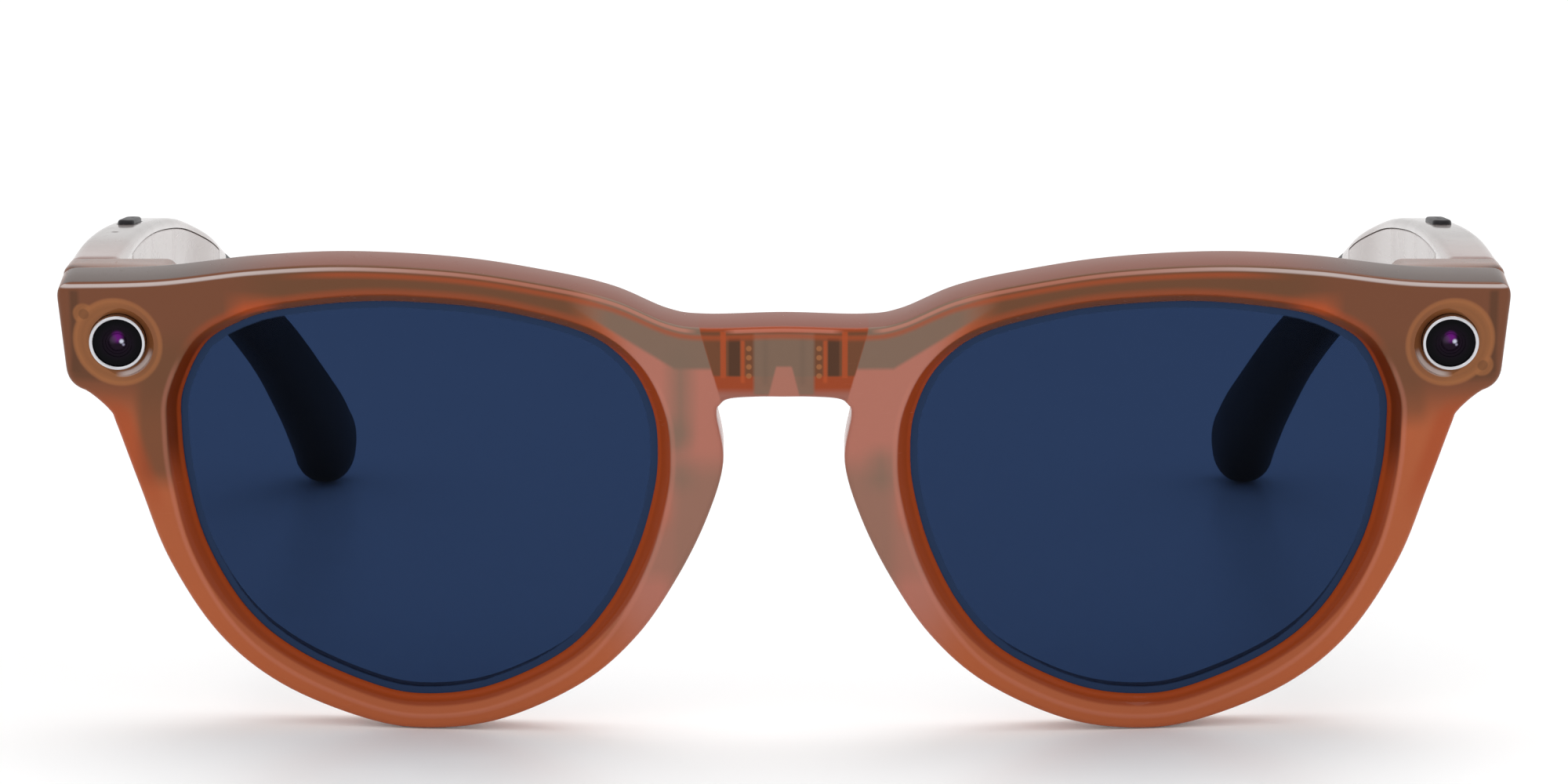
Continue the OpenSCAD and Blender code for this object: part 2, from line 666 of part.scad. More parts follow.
// Shares of the length, the drop and the inward bend, then height and thickness between neck and paddle
tip_form = [
    [0.156, 0.094, 0.136, 0, 0], [0.325, 0.275, 0.364, 0, 0.09], [0.494, 0.48, 0.6, 0.19, 0.3],
    [0.649, 0.7, 0.8, 0.5, 0.55], [0.784, 0.88, 0.936, 0.8, 0.85], [0.873, 1, 1, 1, 1]
];
tip_path = open_curve(concat(
    [[ear_x_mid, ear_y, ear_z_mid, ear_h, ear_t]],
    [for (f = tip_form) [
        ear_x_mid - f[2] * tip_in, ear_y + f[0] * tip_l, ear_z_mid - f[1] * tip_drop,
        neck_h + f[3] * (paddle_h - neck_h), ear_t - 0.2 + f[4] * (paddle_t - ear_t + 0.2)
    ]]
), 3);
ring_sides = 16;
function place(q) = [q[0], q[1], q[2]];
function heading(p, i) = i == 0 ? [0, 1, 0] :
    let(d = place(p[min(i + 1, len(p) - 1)]) - place(p[i - 1])) d / norm(d);
function ring(c, t, h, w, bulge) = let(s = cross([0, 0, 1], t) / norm(cross([0, 0, 1], t)), u = cross(t, s)) [
    for (k = [0 : ring_sides - 1]) let(a = 360 * k / ring_sides, ca = cos(a), sa = sin(a))
        c + s * sign(ca) * pow(abs(ca), bulge) * w / 2 + u * sign(sa) * pow(abs(sa), bulge) * h / 2
];
cap_steps = [20, 40, 58, 74, 86];
function tip_rings() = let(last = len(tip_path) - 1, e = tip_path[last], d = heading(tip_path, last)) concat(
    [for (i = [0 : last]) ring(place(tip_path[i]), heading(tip_path, i), tip_path[i][3], tip_path[i][4], 0.62)],
    [for (a = cap_steps)
        ring(place(e) + d * sin(a) * e[3] / 2, d, e[3] * cos(a), e[4] * pow(cos(a), 0.6), 0.62 + 0.3 * a / 90)]
);
module tube(rings) {
    m = ring_sides;
    last = len(rings) - 1;
    polyhedron(
        points = [for (r = rings) for (q = r) q],
        faces = concat(
            [[for (k = [0 : m - 1]) k]],
            [for (i = [0 : last - 1]) for (k = [0 : m - 1]) [i * m + k, (i + 1) * m + k, (i + 1) * m + (k + 1) % m]],
            [for (i = [0 : last - 1]) for (k = [0 : m - 1]) [i * m + k, (i + 1) * m + (k + 1) % m, i * m + (k + 1) % m]],
            [[for (k = [m - 1 : -1 : 0]) last * m + k]]
        )
    );
}
module ear_tip(side) { color(black) on_side(side) tube(tip_rings()); }
wire_rings = [for (i = [0 : len(tip_path) - 4])
    ring(place(tip_path[i]) + [0, 0, i == 0 ? 0.6 : 0.3], heading(tip_path, i), 2 * core_r, 2 * core_r, 1)];
module core_wire(side) {
    color(steel) on_side(side) {
        translate([ear_x_mid, cavity_end + 0.5, ear_z_mid + 0.6]) rotate([-90, 0, 0])
            cylinder(r = core_r, h = ear_y - cavity_end - 0.5);
        tube(wire_rings);
    }
}

module speaker(side) {
    color("#303034") on_side(side) bay_box(speaker_y, speaker_y + speaker_l, 0, 1, 1.5);
}
module speaker_mesh(side) {
    color("#3a3a3e") on_side(side) at_slot() translate([0, 0, 0.3]) linear_extrude(0.3) stadium(slot_w, slot_l);
}
module microphone(side) {
    y0 = microphone_y - microphone_w / 2;
    y1 = microphone_y + microphone_w / 2;
    color(steel) on_side(side) translate([microphone_x - 0.6, y0, bay_top(y0, y1) - 0.8]) cube([1.2, microphone_w, 0.8]);
}
// Raised port on the left temple that matches the button on the right one
module microphone_port() {
    color(black) on_side(1) at_button() translate([0, 0, -wall + 0.1]) linear_extrude(wall - 0.1 + button_proud)
        difference() {
            stadium(button_w + 2 * slide_fit, button_l + 2 * slide_fit);
            for (y = [-1, 1]) translate([0, y]) circle(r = 0.3);
        }
}
module inlay(side) { color(steel) on_side(side) inlay_form(0); }

board_y = cavity_y + 2;
board_end = board_y + board_l;
board_drop = 4.2;
module main_board() { color(board) on_side(-1) bay_box(board_y, board_end, 0.1, 0.35, board_drop); }
module shield_can() { color(steel) on_side(-1) bay_box(board_y + 4, board_end - 4, 0.35, 0.85, board_drop + 0.4); }
module touch_sensor() {
    color("#7a6a30") on_side(-1)
        temple_skin(board_y, board_end, wall + 1.4, outer_line, -wall - 0.2, -wall - 0.05);
}
module capture_button() {
    color(black) on_side(-1) at_button() {
        translate([0, 0, -flange_z]) linear_extrude(flange_z + button_proud) stadium(button_w, button_l);
        translate([0, 0, -flange_z - flange_t]) linear_extrude(flange_t) stadium(button_w + 0.6, button_l + 1.2);
    }
}
module button_switch() {
    color("#28282c") on_side(-1) at_button() translate([-1.1, -1.6, -switch_drop - switch_h]) cube([2.2, 3.2, switch_h]);
}

battery_y = speaker_y - 1 - battery_l;
module battery() { color("#3c4248") on_side(1) bay_box(battery_y, battery_y + battery_l, 0, 1, 0); }
module protection_board() { color(board) on_side(1) bay_box(cavity_y + 1, battery_y - 1, 0.75, 1, 0); }
slider_flange_t = 0.4;
module power_slider() {
    color(black) on_side(1) {
        at_slider(-slider_proud, 0) linear_extrude(slider_proud + inner_t + slide_fit) stadium(slider_w, slider_l);
        at_slider(inner_t + slide_fit, 0) linear_extrude(slider_flange_t) stadium(slider_w + 0.8, slider_l + 0.8);
    }
}
module power_switch() {
    color("#28282c") on_side(1)
        at_slider(inner_t + 2 * slide_fit + slider_flange_t, slider_travel / 2)
            translate([-1.5, -3, 0]) cube([3, 6, 0.9]);
}

front_frame();
brow_cover(-1);  // brow_cover_right
brow_cover(1);  // brow_cover_left
bridge_cover();
lens(-1);  // lens_right
lens(1);  // lens_left
camera_window(-1);  // camera_window_right
camera_window(1);  // camera_window_left
camera_bezel(-1);  // camera_bezel_right
camera_bezel(1);  // camera_bezel_left
camera_barrel(-1);  // camera_barrel_right
camera_barrel(1);  // camera_barrel_left
camera_sensor(-1);  // camera_sensor_right
camera_sensor(1);  // camera_sensor_left
camera_bracket(-1);  // camera_bracket_right
camera_bracket(1);  // camera_bracket_left
camera_screws();
capture_led();
front_flex();
bridge_board();
bridge_blocks();
charging_contacts();
nose_microphone();
front_hinge(-1);  // front_hinge_right
front_hinge(1);  // front_hinge_left
front_hinge_screws();
hinge_pin(-1);  // hinge_pin_right
hinge_pin(1);  // hinge_pin_left
temple_shell(-1);  // temple_shell_right
temple_shell(1);  // temple_shell_left
temple_cover(-1);  // temple_cover_right
temple_cover(1);  // temple_cover_left
temple_hinge(-1);  // temple_hinge_right
temple_hinge(1);  // temple_hinge_left
temple_screws(-1);  // temple_screws_right
temple_screws(1);  // temple_screws_left
ear_tip(-1);  // ear_tip_right
ear_tip(1);  // ear_tip_left
core_wire(-1);  // core_wire_right
core_wire(1);  // core_wire_left
speaker(-1);  // speaker_right
speaker(1);  // speaker_left
speaker_mesh(-1);  // speaker_mesh_right
speaker_mesh(1);  // speaker_mesh_left
microphone(-1);  // microphone_right
microphone(1);  // microphone_left
microphone_port();
inlay(-1);  // inlay_right
inlay(1);  // inlay_left
main_board();
shield_can();
touch_sensor();
capture_button();
button_switch();
battery();
protection_board();
power_slider();
power_switch();
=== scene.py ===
import math
from types import SimpleNamespace

import bmesh
import bpy
import numpy as np
from bpy.props import FloatProperty, FloatVectorProperty, PointerProperty
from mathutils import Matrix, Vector
from mathutils.geometry import delaunay_2d_cdt


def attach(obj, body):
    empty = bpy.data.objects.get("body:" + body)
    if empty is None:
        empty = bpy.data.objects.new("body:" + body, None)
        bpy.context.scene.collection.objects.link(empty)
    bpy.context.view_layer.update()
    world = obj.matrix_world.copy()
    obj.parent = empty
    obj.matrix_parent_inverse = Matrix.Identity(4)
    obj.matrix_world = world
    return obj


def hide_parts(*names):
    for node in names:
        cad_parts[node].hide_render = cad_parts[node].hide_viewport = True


bl_info = {
    "name": "Camera Glasses",
    "version": (1, 0, 0),
    "blender": (4, 5, 0),
    "location": "3D View > Sidebar > Glasses",
    "description": "Makes the front, lenses, cameras, temples and ear tips of a pair of camera glasses",
    "category": "Object",
}

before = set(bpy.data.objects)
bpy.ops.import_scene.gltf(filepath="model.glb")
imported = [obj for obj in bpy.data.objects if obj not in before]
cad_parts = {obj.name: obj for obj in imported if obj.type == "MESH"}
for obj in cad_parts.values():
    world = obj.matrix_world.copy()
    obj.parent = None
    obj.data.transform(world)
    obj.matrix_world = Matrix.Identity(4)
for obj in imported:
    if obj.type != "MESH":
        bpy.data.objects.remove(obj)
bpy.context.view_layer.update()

MM = 0.001
SIDES = (("right", -1), ("left", 1))


def size(name, description, millimetres):
    """A length property that is given in millimetres."""
    return FloatProperty(
        name=name, description=description, default=millimetres * MM, unit="LENGTH", precision=4
    )


def tone(name, description, red, green, blue):
    """A colour property that is given as display values from 0 to 255."""
    shares = (red / 255, green / 255, blue / 255)
    linear = [((v + 0.055) / 1.055) ** 2.4 if v > 10 / 255 else v / 12.92 for v in shares]
    return FloatVectorProperty(
        name=name, description=description, default=linear, subtype="COLOR", size=3, min=0, max=1
    )


class GlassesFront(bpy.types.PropertyGroup):
    """Sizes of the resin front"""

    aperture_w: size("Opening width", "Width of one lens opening", 48.2)
    aperture_h: size("Opening height", "Height of one lens opening", 41.6)
    bridge_w: size("Bridge width", "Gap between the two lens openings", 25.3)
    bridge_h: size("Bridge height", "From the brow line down to the nose arch", 7.4)
    brow_h: size("Brow height", "Height of the brow above a lens opening", 4.3)
    end_w: size("End piece width", "Width of the end piece outside a lens opening", 12.4)
    end_h: size("End piece height", "Height of the end piece on its outer side", 10.7)
    front_t: size("Thickness", "Thickness of the front", 6)
    wrap_r: size("Wrap radius", "Radius that the front is wrapped to", 300)
    tilt: FloatProperty(
        name="Lean", description="Forward lean of the front", default=math.radians(8.2), subtype="ANGLE"
    )
    edge_r: size("Front edge", "Rounding of the front's outer edge", 0.6)
    back_r: size("Rear edge", "Rounding of the front's rear edge", 0.9)
    bevel_w: size("Bevel", "Width of the bevel that leads down to a lens", 1.45)
    groove_y: size("Groove place", "Depth of the lens groove behind the front face", 2.4)
    groove_d: size("Groove depth", "How deep a lens edge sits in its groove", 1)
    lens_t: size("Lens thickness", "Thickness of a lens", 1.8)
    cover_t: size("Cover thickness", "Thickness of the covers behind the brow and the bridge", 1.2)
    camera_in: size("Camera place", "Distance of a camera from the outer side", 6.3)
    camera_down: size("Camera drop", "Height of a camera below the brow", 9.4)
    window_r: size("Window radius", "Radius of the camera window", 2.45)
    bezel_t: size("Bezel wall", "Wall of the ring round the camera window", 0.4)


class GlassesTemples(bpy.types.PropertyGroup):
    """Sizes of the temples and the ear tips"""

    butt_y: size("Butt", "From the front's lowest line back to the butt of the end piece", 14)
    temple_gap: size("Gap", "Gap between the end piece and the open temple", 0.3)
    housing_l: size("Housing length", "From the butt to the ear tip", 93.7)
    temple_t: size("Thickness", "Thickness of the temple at the front", 6)
    wall: size("Wall", "Wall of the temple housing", 1.1)
    inner_t: size("Cover thickness", "Thickness of the inner cover", 0.9)
    ear_h: size("Neck height", "Height of the temple where the ear tip starts", 7.8)
    ear_t: size("Neck thickness", "Thickness of the temple where the ear tip starts", 4.2)
    tip_l: size("Tip length", "Length of the ear tip", 38.5)
    tip_in: size("Tip bend", "How far the ear tip bends inwards", 11)
    paddle_h: size("Paddle height", "Height of the end of the ear tip", 10.2)
    paddle_t: size("Paddle thickness", "Thickness of the end of the ear tip", 7.2)
    round_out: size("Outer rounding", "Rounding of the temple's outer edges", 1.6)
    round_in: size("Inner rounding", "Rounding of the temple's inner edges", 1.3)
    button_y: size("Button place", "From the butt to the capture button", 38)
    button_l: size("Button length", "Length of the capture button", 9)
    button_w: size("Button width", "Width of the capture button", 1.8)
    slider_y: size("Slider place", "From the butt to the power slider", 17)
    slider_l: size("Slider length", "Length of the slider's knob", 3.6)
    slider_travel: size("Slider travel", "How far the slider moves", 2)


class GlassesFinish(bpy.types.PropertyGroup):
    """Colours of the finishes"""

    rim: tone("Rim", "Resin of the lower rims", 170, 88, 50)
    # Painted light: the lowest part of the rims is made a touch lighter where it faces the floor and gets
    # less light
    rim_low_light: tone("Rim base", "Resin of the lowest part of the rims", 173, 90, 52)
    # The brow tone is also the colour of the painted shadow low on the nose side
    brow: tone("Brow", "Resin over the dark brow channel", 104, 65, 40)
    end_piece: tone("End piece", "Resin over the camera pocket", 112, 66, 42)
    # The nose tone is also the base of painted highlights and of the painted shade on upward faces
    nose: tone("Nose", "Resin over the pale nose side", 172, 108, 92)
    # The bridge tone is also the colour of the painted shade patches on the nose side
    bridge: tone("Bridge", "Resin over the bridge electronics", 122, 100, 84)
    glow: tone("Glow", "Light that gathers in the resin's edges", 196, 84, 36)
    amber: tone("Amber", "Camera bracket seen through the resin", 144, 90, 52)
    # The smoke tone is the temple resin's pale lit tone, painted light; it also tints painted highlights
    # and painted light on the front
    smoke: tone("Smoke", "Resin of the temples", 168, 157, 154)
    smoke_deep: tone("Deep smoke", "Shaded parts of the temples", 120, 109, 105)
    lens: tone("Lens", "Tint that one face of a lens lets through", 103, 121, 149)
    lens_edge: tone("Lens edge", "Look of a lens where its edge lies behind it", 41, 58, 88)
    black: tone("Black", "Grip of the ear tips and the controls", 20, 17, 21)
    steel: tone("Steel", "Hinges and screws", 200, 200, 204)
    gold: tone("Gold", "Charging contacts", 226, 184, 110)


class GlassesStage(bpy.types.PropertyGroup):
    """Camera and light"""

    distance: size("Distance", "From the camera to the middle of the front", 650)
    elevation: FloatProperty(
        name="Elevation", description="Camera above the horizon", default=math.radians(9.6), subtype="ANGLE"
    )
    focal: FloatProperty(name="Focal length", description="Focal length on a 36 mm sensor", default=148.8)
    target_z: size("Target height", "Height of the point that the camera looks at", 35.08)
    sky: FloatProperty(name="Sky", description="Strength of the light from all round", default=0.92)
    key: FloatProperty(name="Key", description="Power of the overhead softbox, in watts", default=5)
    fill: FloatProperty(name="Fill", description="Power of the front softbox, in watts", default=1)


# Curves in the plane of the front, in millimetres


def open_curve(points, steps):
    """Catmull-Rom curve through points, with steps segments between neighbours."""
    p = np.array(points, float)
    p = np.vstack([2 * p[0] - p[1], p, 2 * p[-1] - p[-2]])
    out = [blend(p[i : i + 4], j / steps) for i in range(len(p) - 3) for j in range(steps)]
    return np.array(out + [p[-2]])


def closed_curve(points, steps):
    p = np.array(points, float)
    count = len(p)
    quads = [p[[(i - 1) % count, i, (i + 1) % count, (i + 2) % count]] for i in range(count)]
    return np.array([blend(quad, j / steps) for quad in quads for j in range(steps)])


def blend(p, t):
    a, b, c, d = p
    return 0.5 * (2 * b + (c - a) * t + (2 * a - 5 * b + 4 * c - d) * t**2 + (3 * b - a - 3 * c + d) * t**3)


def flipped(points):
    return np.array(points, float)[::-1] * (-1, 1)


def ring_normals(loop):
    """Outward normals of a counter-clockwise loop, long enough for a mitred offset."""
    ahead = np.roll(loop, -1, 0) - loop
    ahead /= np.linalg.norm(ahead, axis=1)[:, None]
    side = np.column_stack([ahead[:, 1], -ahead[:, 0]])
    before = np.roll(side, 1, 0)
    total = side + before
    return total / np.maximum(1 + (side * before).sum(1), 0.5)[:, None]


def grown(loop, distance):
    return loop + distance * ring_normals(loop)


def simple_normal(points, i):
    s = points[(i + 1) % len(points)] - points[i - 1]
    return np.array([s[1], -s[0]]) / np.linalg.norm(s)


def rounded_corners(loop, corners, radius, steps=6):
    """The loop with an arc of that radius in place of each corner index."""
    out, count = [], len(loop)

    def leave(i, step):
        """Unit vector from a corner to the first point beyond the radius."""
        k = i + step
        while np.linalg.norm(loop[k % count] - loop[i]) < radius:
            k += step
        away = loop[k % count] - loop[i]
        return away / np.linalg.norm(away)

    for i, p in enumerate(loop):
        if i in corners:
            start, end = p + leave(i, -1) * radius, p + leave(i, 1) * radius
            for t in np.linspace(0, 1, steps + 1):
                out.append((1 - t) ** 2 * start + 2 * t * (1 - t) * p + t * t * end)
        elif min(np.linalg.norm(p - loop[k]) for k in corners) > radius:
            out.append(p)
    return np.array(out)


def inside(loop, points):
    """Which points lie in a loop."""
    hit = np.zeros(len(points), bool)
    for a, b in zip(loop, np.roll(loop, -1, 0)):
        spans = (a[1] > points[:, 1]) != (b[1] > points[:, 1])
        with np.errstate(divide="ignore", invalid="ignore"):
            cross = (b[0] - a[0]) * (points[:, 1] - a[1]) / (b[1] - a[1]) + a[0]
        hit ^= spans & (points[:, 0] < cross)
    return hit


def measures():
    """All sizes in millimetres, with the places that follow from them."""
    scene = bpy.context.scene
    m = SimpleNamespace()
    for group in (scene.glasses_front, scene.glasses_temples):
        for name in group.__annotations__:
            setattr(m, name, getattr(group, name) / MM)
    m.tilt = scene.glasses_front.tilt
    m.hx, m.hz = m.aperture_w / 2, m.aperture_h / 2
    m.rim_w = 3
    m.lens_x = m.bridge_w / 2 + m.hx
    m.lens_z = m.rim_w + m.hz
    m.brow_z = m.lens_z + m.hz + m.brow_h
    m.end_x = m.lens_x + m.hx + m.end_w
    m.end_top = m.brow_z - 3.7
    m.end_low = m.end_top - m.end_h
    m.bridge_top = m.brow_z - 5.5
    m.bridge_low = m.bridge_top - m.bridge_h
    m.camera_x = m.end_x - m.camera_in
    m.camera_z = m.brow_z - m.camera_down
    m.camera_y = wrap(m, m.camera_x)
    m.rest_z = wrap(m, m.lens_x) * math.sin(m.tilt)
    m.root_y = m.butt_y + m.temple_gap
    m.ear_y = m.root_y + m.housing_l
    m.middle_y = (m.ear_y + m.tip_l - m.bridge_top * math.sin(m.tilt)) / 2
    block_back = wrap(m, m.end_x) + m.front_t
    m.block_top = block_back * math.sin(m.tilt) + m.end_top * math.cos(m.tilt)
    m.block_low = block_back * math.sin(m.tilt) + m.end_low * math.cos(m.tilt)
    m.block_in = m.end_x - 11.4
    m.pocket = (m.end_x - 10.7, m.end_x - 1.7, m.block_low + 0.6, m.block_top - 1.1)
    m.hinge_x = m.end_x - 6.5
    m.hinge_y = m.butt_y + m.temple_gap / 2
    m.cover_x = m.bridge_w * 0.23
    m.cover_z = (m.bridge_low + 1.4, m.bridge_top - 1.3)
    m.contact_x = m.bridge_w * 0.138
    m.lens_points = np.array([(m.lens_x + x * m.hx, m.lens_z + z * m.hz) for x, z in LENS_FORM])
    m.opening = closed_curve(m.lens_points, 9)
    m.brow_line, m.outline = front_outline(m)
    m.ear_z_mid = m.block_top - 16.5
    m.ear_x_mid = m.end_x - 6
    m.cavity_y = m.root_y + 10.5
    m.cavity_end = m.ear_y - 5
    temple_lines(m)
    return m


# Lens opening, counter-clockwise from its top, as shares of its half sizes
LENS_FORM = (
    (-0.03, 1), (-0.35, 0.97), (-0.7, 0.87), (-0.885, 0.71), (-0.98, 0.49), (-1, 0.26), (-0.977, 0.04),
    (-0.906, -0.24), (-0.78, -0.525), (-0.6, -0.755), (-0.3, -0.94), (-0.03, -1), (0.2, -0.966),
    (0.525, -0.81), (0.745, -0.6), (0.907, -0.275), (0.98, 0.06), (1, 0.33), (0.986, 0.51), (0.89, 0.74),
    (0.745, 0.86), (0.58, 0.93), (0.26, 0.99),
)
# Rim widths from the temple side round to the nose side, at lens points 17 down to 5
RIM_WIDTHS = (6.5, 4.85, 4, 3.6, 3.45, 3.15, 3, 3.1, 3.3, 3.9, 4.65, 5.7, 6.6)
FIRST_RIM_POINT = 17


def front_outline(m):
    """The brow line from right to left corner, and the whole outline, counter-clockwise."""
    brow_half = [
        (m.bridge_w * 0.31, m.bridge_top - 0.2), (m.bridge_w * 0.46, m.bridge_top + 0.35),
        (m.lens_x - 0.82 * m.hx, m.brow_z - 2.9), (m.lens_x - 0.56 * m.hx, m.brow_z - 1.5),
        (m.lens_x - 0.18 * m.hx, m.brow_z - 0.3), (m.lens_x + 0.27 * m.hx, m.brow_z - 0.1),
        (m.lens_x + 0.67 * m.hx, m.brow_z - 1), (m.lens_x + 1.08 * m.hx, m.brow_z - 2.7),
        (m.end_x, m.end_top),
    ]
    rim = [
        m.lens_points[FIRST_RIM_POINT - i] + w * simple_normal(m.lens_points, FIRST_RIM_POINT - i)
        for i, w in enumerate(RIM_WIDTHS)
    ]
    under_half = [
        (m.end_x - 1, m.end_low), (m.end_x - 3, m.end_low - 0.6), (m.end_x - 5.2, m.end_low - 2.4), *rim,
        (m.bridge_w * 0.265, m.bridge_low - 2), (m.bridge_w * 0.25, m.bridge_low - 0.8),
        (m.bridge_w * 0.21, m.bridge_low - 0.2), (m.bridge_w * 0.1, m.bridge_low),
    ]
    brow = open_curve([*flipped(brow_half), (0, m.bridge_top), *brow_half], 10)
    under = open_curve([*under_half, (0, m.bridge_low), *flipped(under_half)], 8)
    top, low = brow[-1], under[0]
    side = [top + (low - top) * share for share in np.linspace(0, 1, 9)[1:-1]]
    loop = np.array([*brow, *side, *under, *flipped(side)])[::-1]
    ends = [np.argmin(np.linalg.norm(loop - p, axis=1)) for p in (top, low, top * (-1, 1), low * (-1, 1))]
    return brow, rounded_corners(loop, ends, 1.8, 10)


def wrap(m, x, depth=0.0):
    """How far the surface that lies depth behind the wrapped front face is set back at x."""
    return m.wrap_r - np.sqrt((m.wrap_r - depth) ** 2 - np.square(x))


def to_row(m, x, y, z):
    """Points of the upright model as metres in the row frame."""
    return np.column_stack(np.broadcast_arrays(x, y - m.middle_y, z - m.rest_z)) * MM


def lean(m, x, y, z):
    """Points of the leaning front as metres in the row frame."""
    c, s = math.cos(m.tilt), math.sin(m.tilt)
    return to_row(m, x, y * c - z * s, y * s + z * c)


def plan_of(m, points):
    """x, depth and height in the plane of the front, in millimetres, of points in the row frame."""
    p = np.array(points, float) / MM
    x, y, z = p[:, 0], p[:, 1] + m.middle_y, p[:, 2] + m.rest_z
    c, s = math.cos(m.tilt), math.sin(m.tilt)
    flat_y, flat_z = y * c + z * s, z * c - y * s
    depth = m.wrap_r - np.sqrt(np.square(m.wrap_r - flat_y) + np.square(x))
    return np.column_stack([x, depth, flat_z])


# Meshes


class Shell:
    """Rings of points joined into a closed skin."""

    def __init__(self):
        self.points = []
        self.faces = []

    def add(self, points):
        start = len(self.points)
        self.points.extend(np.array(points, float).tolist())
        return list(range(start, len(self.points)))

    def join(self, a, b):
        count = len(a)
        self.faces += [(a[k], a[(k + 1) % count], b[(k + 1) % count], b[k]) for k in range(count)]

    def loft(self, rings, caps=True):
        found = [self.add(r) for r in rings]
        for a, b in zip(found, found[1:]):
            self.join(a, b)
        if caps:
            self.faces += [tuple(found[0][::-1]), tuple(found[-1])]
        return found


class Plate(Shell):
    """A shape in the plane of the front whose points are x, height and depth."""

    def edge(self, loop, profile):
        """A side wall: profile holds how far each ring is grown, and its depth. Gives its end rings."""
        rings = self.loft([np.column_stack([r, np.full(len(r), d)]) for r, d in
                           ((grown(loop, g), d) for g, d in profile)], caps=False)
        return rings[0], rings[-1]

    def fill(self, rings, depth, step=1.7):
        """Closes the area inside the first ring and outside the others, at one depth."""
        index = [i for r in rings for i in r]
        flat = np.array(self.points)[:, :2]
        loops = [flat[r] for r in rings]
        low, high = loops[0].min(0), loops[0].max(0)
        lanes = [np.arange(a + step / 2, b, step) for a, b in zip(low, high)]
        grid = np.stack(np.meshgrid(*lanes), -1).reshape(-1, 2)
        keep = inside(loops[0], grid)
        for loop in loops[1:]:
            keep &= ~inside(loop, grid)
        grid = grid[keep]
        edge = flat[index]
        gaps = np.array([np.min(np.hypot(*(edge - g).T)) for g in grid]) if len(grid) else np.zeros(0)
        grid = grid[gaps > step * 0.55]
        index += self.add(np.column_stack([grid, np.full(len(grid), depth)]))
        edges, start = [], 0
        for r in rings:
            count = len(r)
            edges += [(start + k, start + (k + 1) % count) for k in range(count)]
            start += count
        spots = [Vector(p) for p in np.vstack([edge, grid])]
        out, _, faces, origin, _, _ = delaunay_2d_cdt(spots, edges, [], 0, 1e-6)
        back = [o[0] for o in origin]
        corners = np.array([[tuple(out[i]) for i in f] for f in faces])
        centres = corners.mean(1)
        keep = inside(loops[0], centres)
        for loop in loops[1:]:
            keep &= ~inside(loop, centres)
        self.faces += [tuple(index[back[i]] for i in f) for f, k in zip(faces, keep) if k]

    def leaned(self, m):
        x, z, depth = np.array(self.points).T
        return lean(m, x, wrap(m, x, depth), z)


def finish_mesh(mesh, sharp=35):
    """Faces outwards, smooth, with sharp edges where the faces turn by more than that angle."""
    work = bmesh.new()
    work.from_mesh(mesh)
    bmesh.ops.remove_doubles(work, verts=work.verts, dist=1e-7)
    bmesh.ops.recalc_face_normals(work, faces=work.faces)
    work.to_mesh(mesh)
    work.free()
    mesh.shade_smooth()
    mesh.set_sharp_from_angle(angle=math.radians(sharp))


def new_object(name, points, faces, sharp=35):
    mesh = bpy.data.meshes.new(name)
    mesh.from_pydata([tuple(p) for p in points], [], [tuple(f) for f in faces])
    mesh.validate()
    finish_mesh(mesh, sharp)
    made = bpy.data.objects.new(name, mesh)
    bpy.context.scene.collection.objects.link(made)
    return made


def combine(made, others, operation, sharp=35):
    """Cuts other closed objects from made, or joins them to it, and removes them."""
    for other in others:
        modifier = made.modifiers.new("cut", "BOOLEAN")
        modifier.operation = operation
        modifier.solver = "EXACT"
        modifier.object = other
        plain(made)
        bpy.data.objects.remove(other)
    finish_mesh(made.data, sharp)


def plain(made):
    """Puts what the modifiers make into the object's own mesh, and removes them."""
    bpy.context.view_layer.update()
    mesh = bpy.data.meshes.new_from_object(made.evaluated_get(bpy.context.evaluated_depsgraph_get()))
    made.modifiers.clear()
    made.data = mesh


def settle(made, body, slot, material, *nodes):
    """Finishes a piece: its material, body and the CAD nodes that it stands for; slot is not used."""
    made.data.materials.clear()
    made.data.materials.append(material)
    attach(made, body)
    if nodes:
        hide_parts(*nodes)


def arc(radius, steps, start, end):
    """Offsets along and below a rounded edge, as pairs, between two angles in degrees."""
    angles = np.radians(np.linspace(start, end, steps + 1))
    return [(radius * (1 - math.cos(a)), radius * (1 - math.sin(a))) for a in angles]


def turned(centre, axis, profile, sides=64):
    """Rings of a turned part: profile holds distance along the axis and radius."""
    axis = Vector(axis).normalized()
    across = axis.orthogonal().normalized()
    other = axis.cross(across)
    centre = np.array(centre, float)
    angles = np.linspace(0, 2 * math.pi, sides, endpoint=False)
    spokes = np.outer(np.cos(angles), across) + np.outer(np.sin(angles), other)
    return [centre + np.array(axis) * a + spokes * r for a, r in profile]


def box_ring(x0, x1, z0, z1, radii, steps=5):
    """A rounded rectangle, counter-clockwise from its low x and low z corner, as its radii are."""
    spots = ((x0, z0, 180), (x1, z0, 270), (x1, z1, 0), (x0, z1, 90))
    corners = [(*spot, r) for spot, r in zip(spots, radii)]
    out = []
    for x, z, start, r in corners:
        cx = x + (r if x == x0 else -r)
        cz = z + (r if z == z0 else -r)
        for a in np.radians(np.linspace(start, start + 90, steps + 1)):
            out.append((cx + r * math.cos(a), cz + r * math.sin(a)))
    return np.array(out)


# Front


def outer_profile(m):
    """Side wall of the front, from the front face to the rear face."""
    front = [(-g, d) for g, d in arc(m.edge_r, 5, 90, 0)]
    back = [(-g, m.front_t - d) for g, d in arc(m.back_r, 5, 0, 90)]
    lead = 0.06
    return [(-m.edge_r - lead, 0), *front, *back, (-m.back_r - lead, m.front_t)]


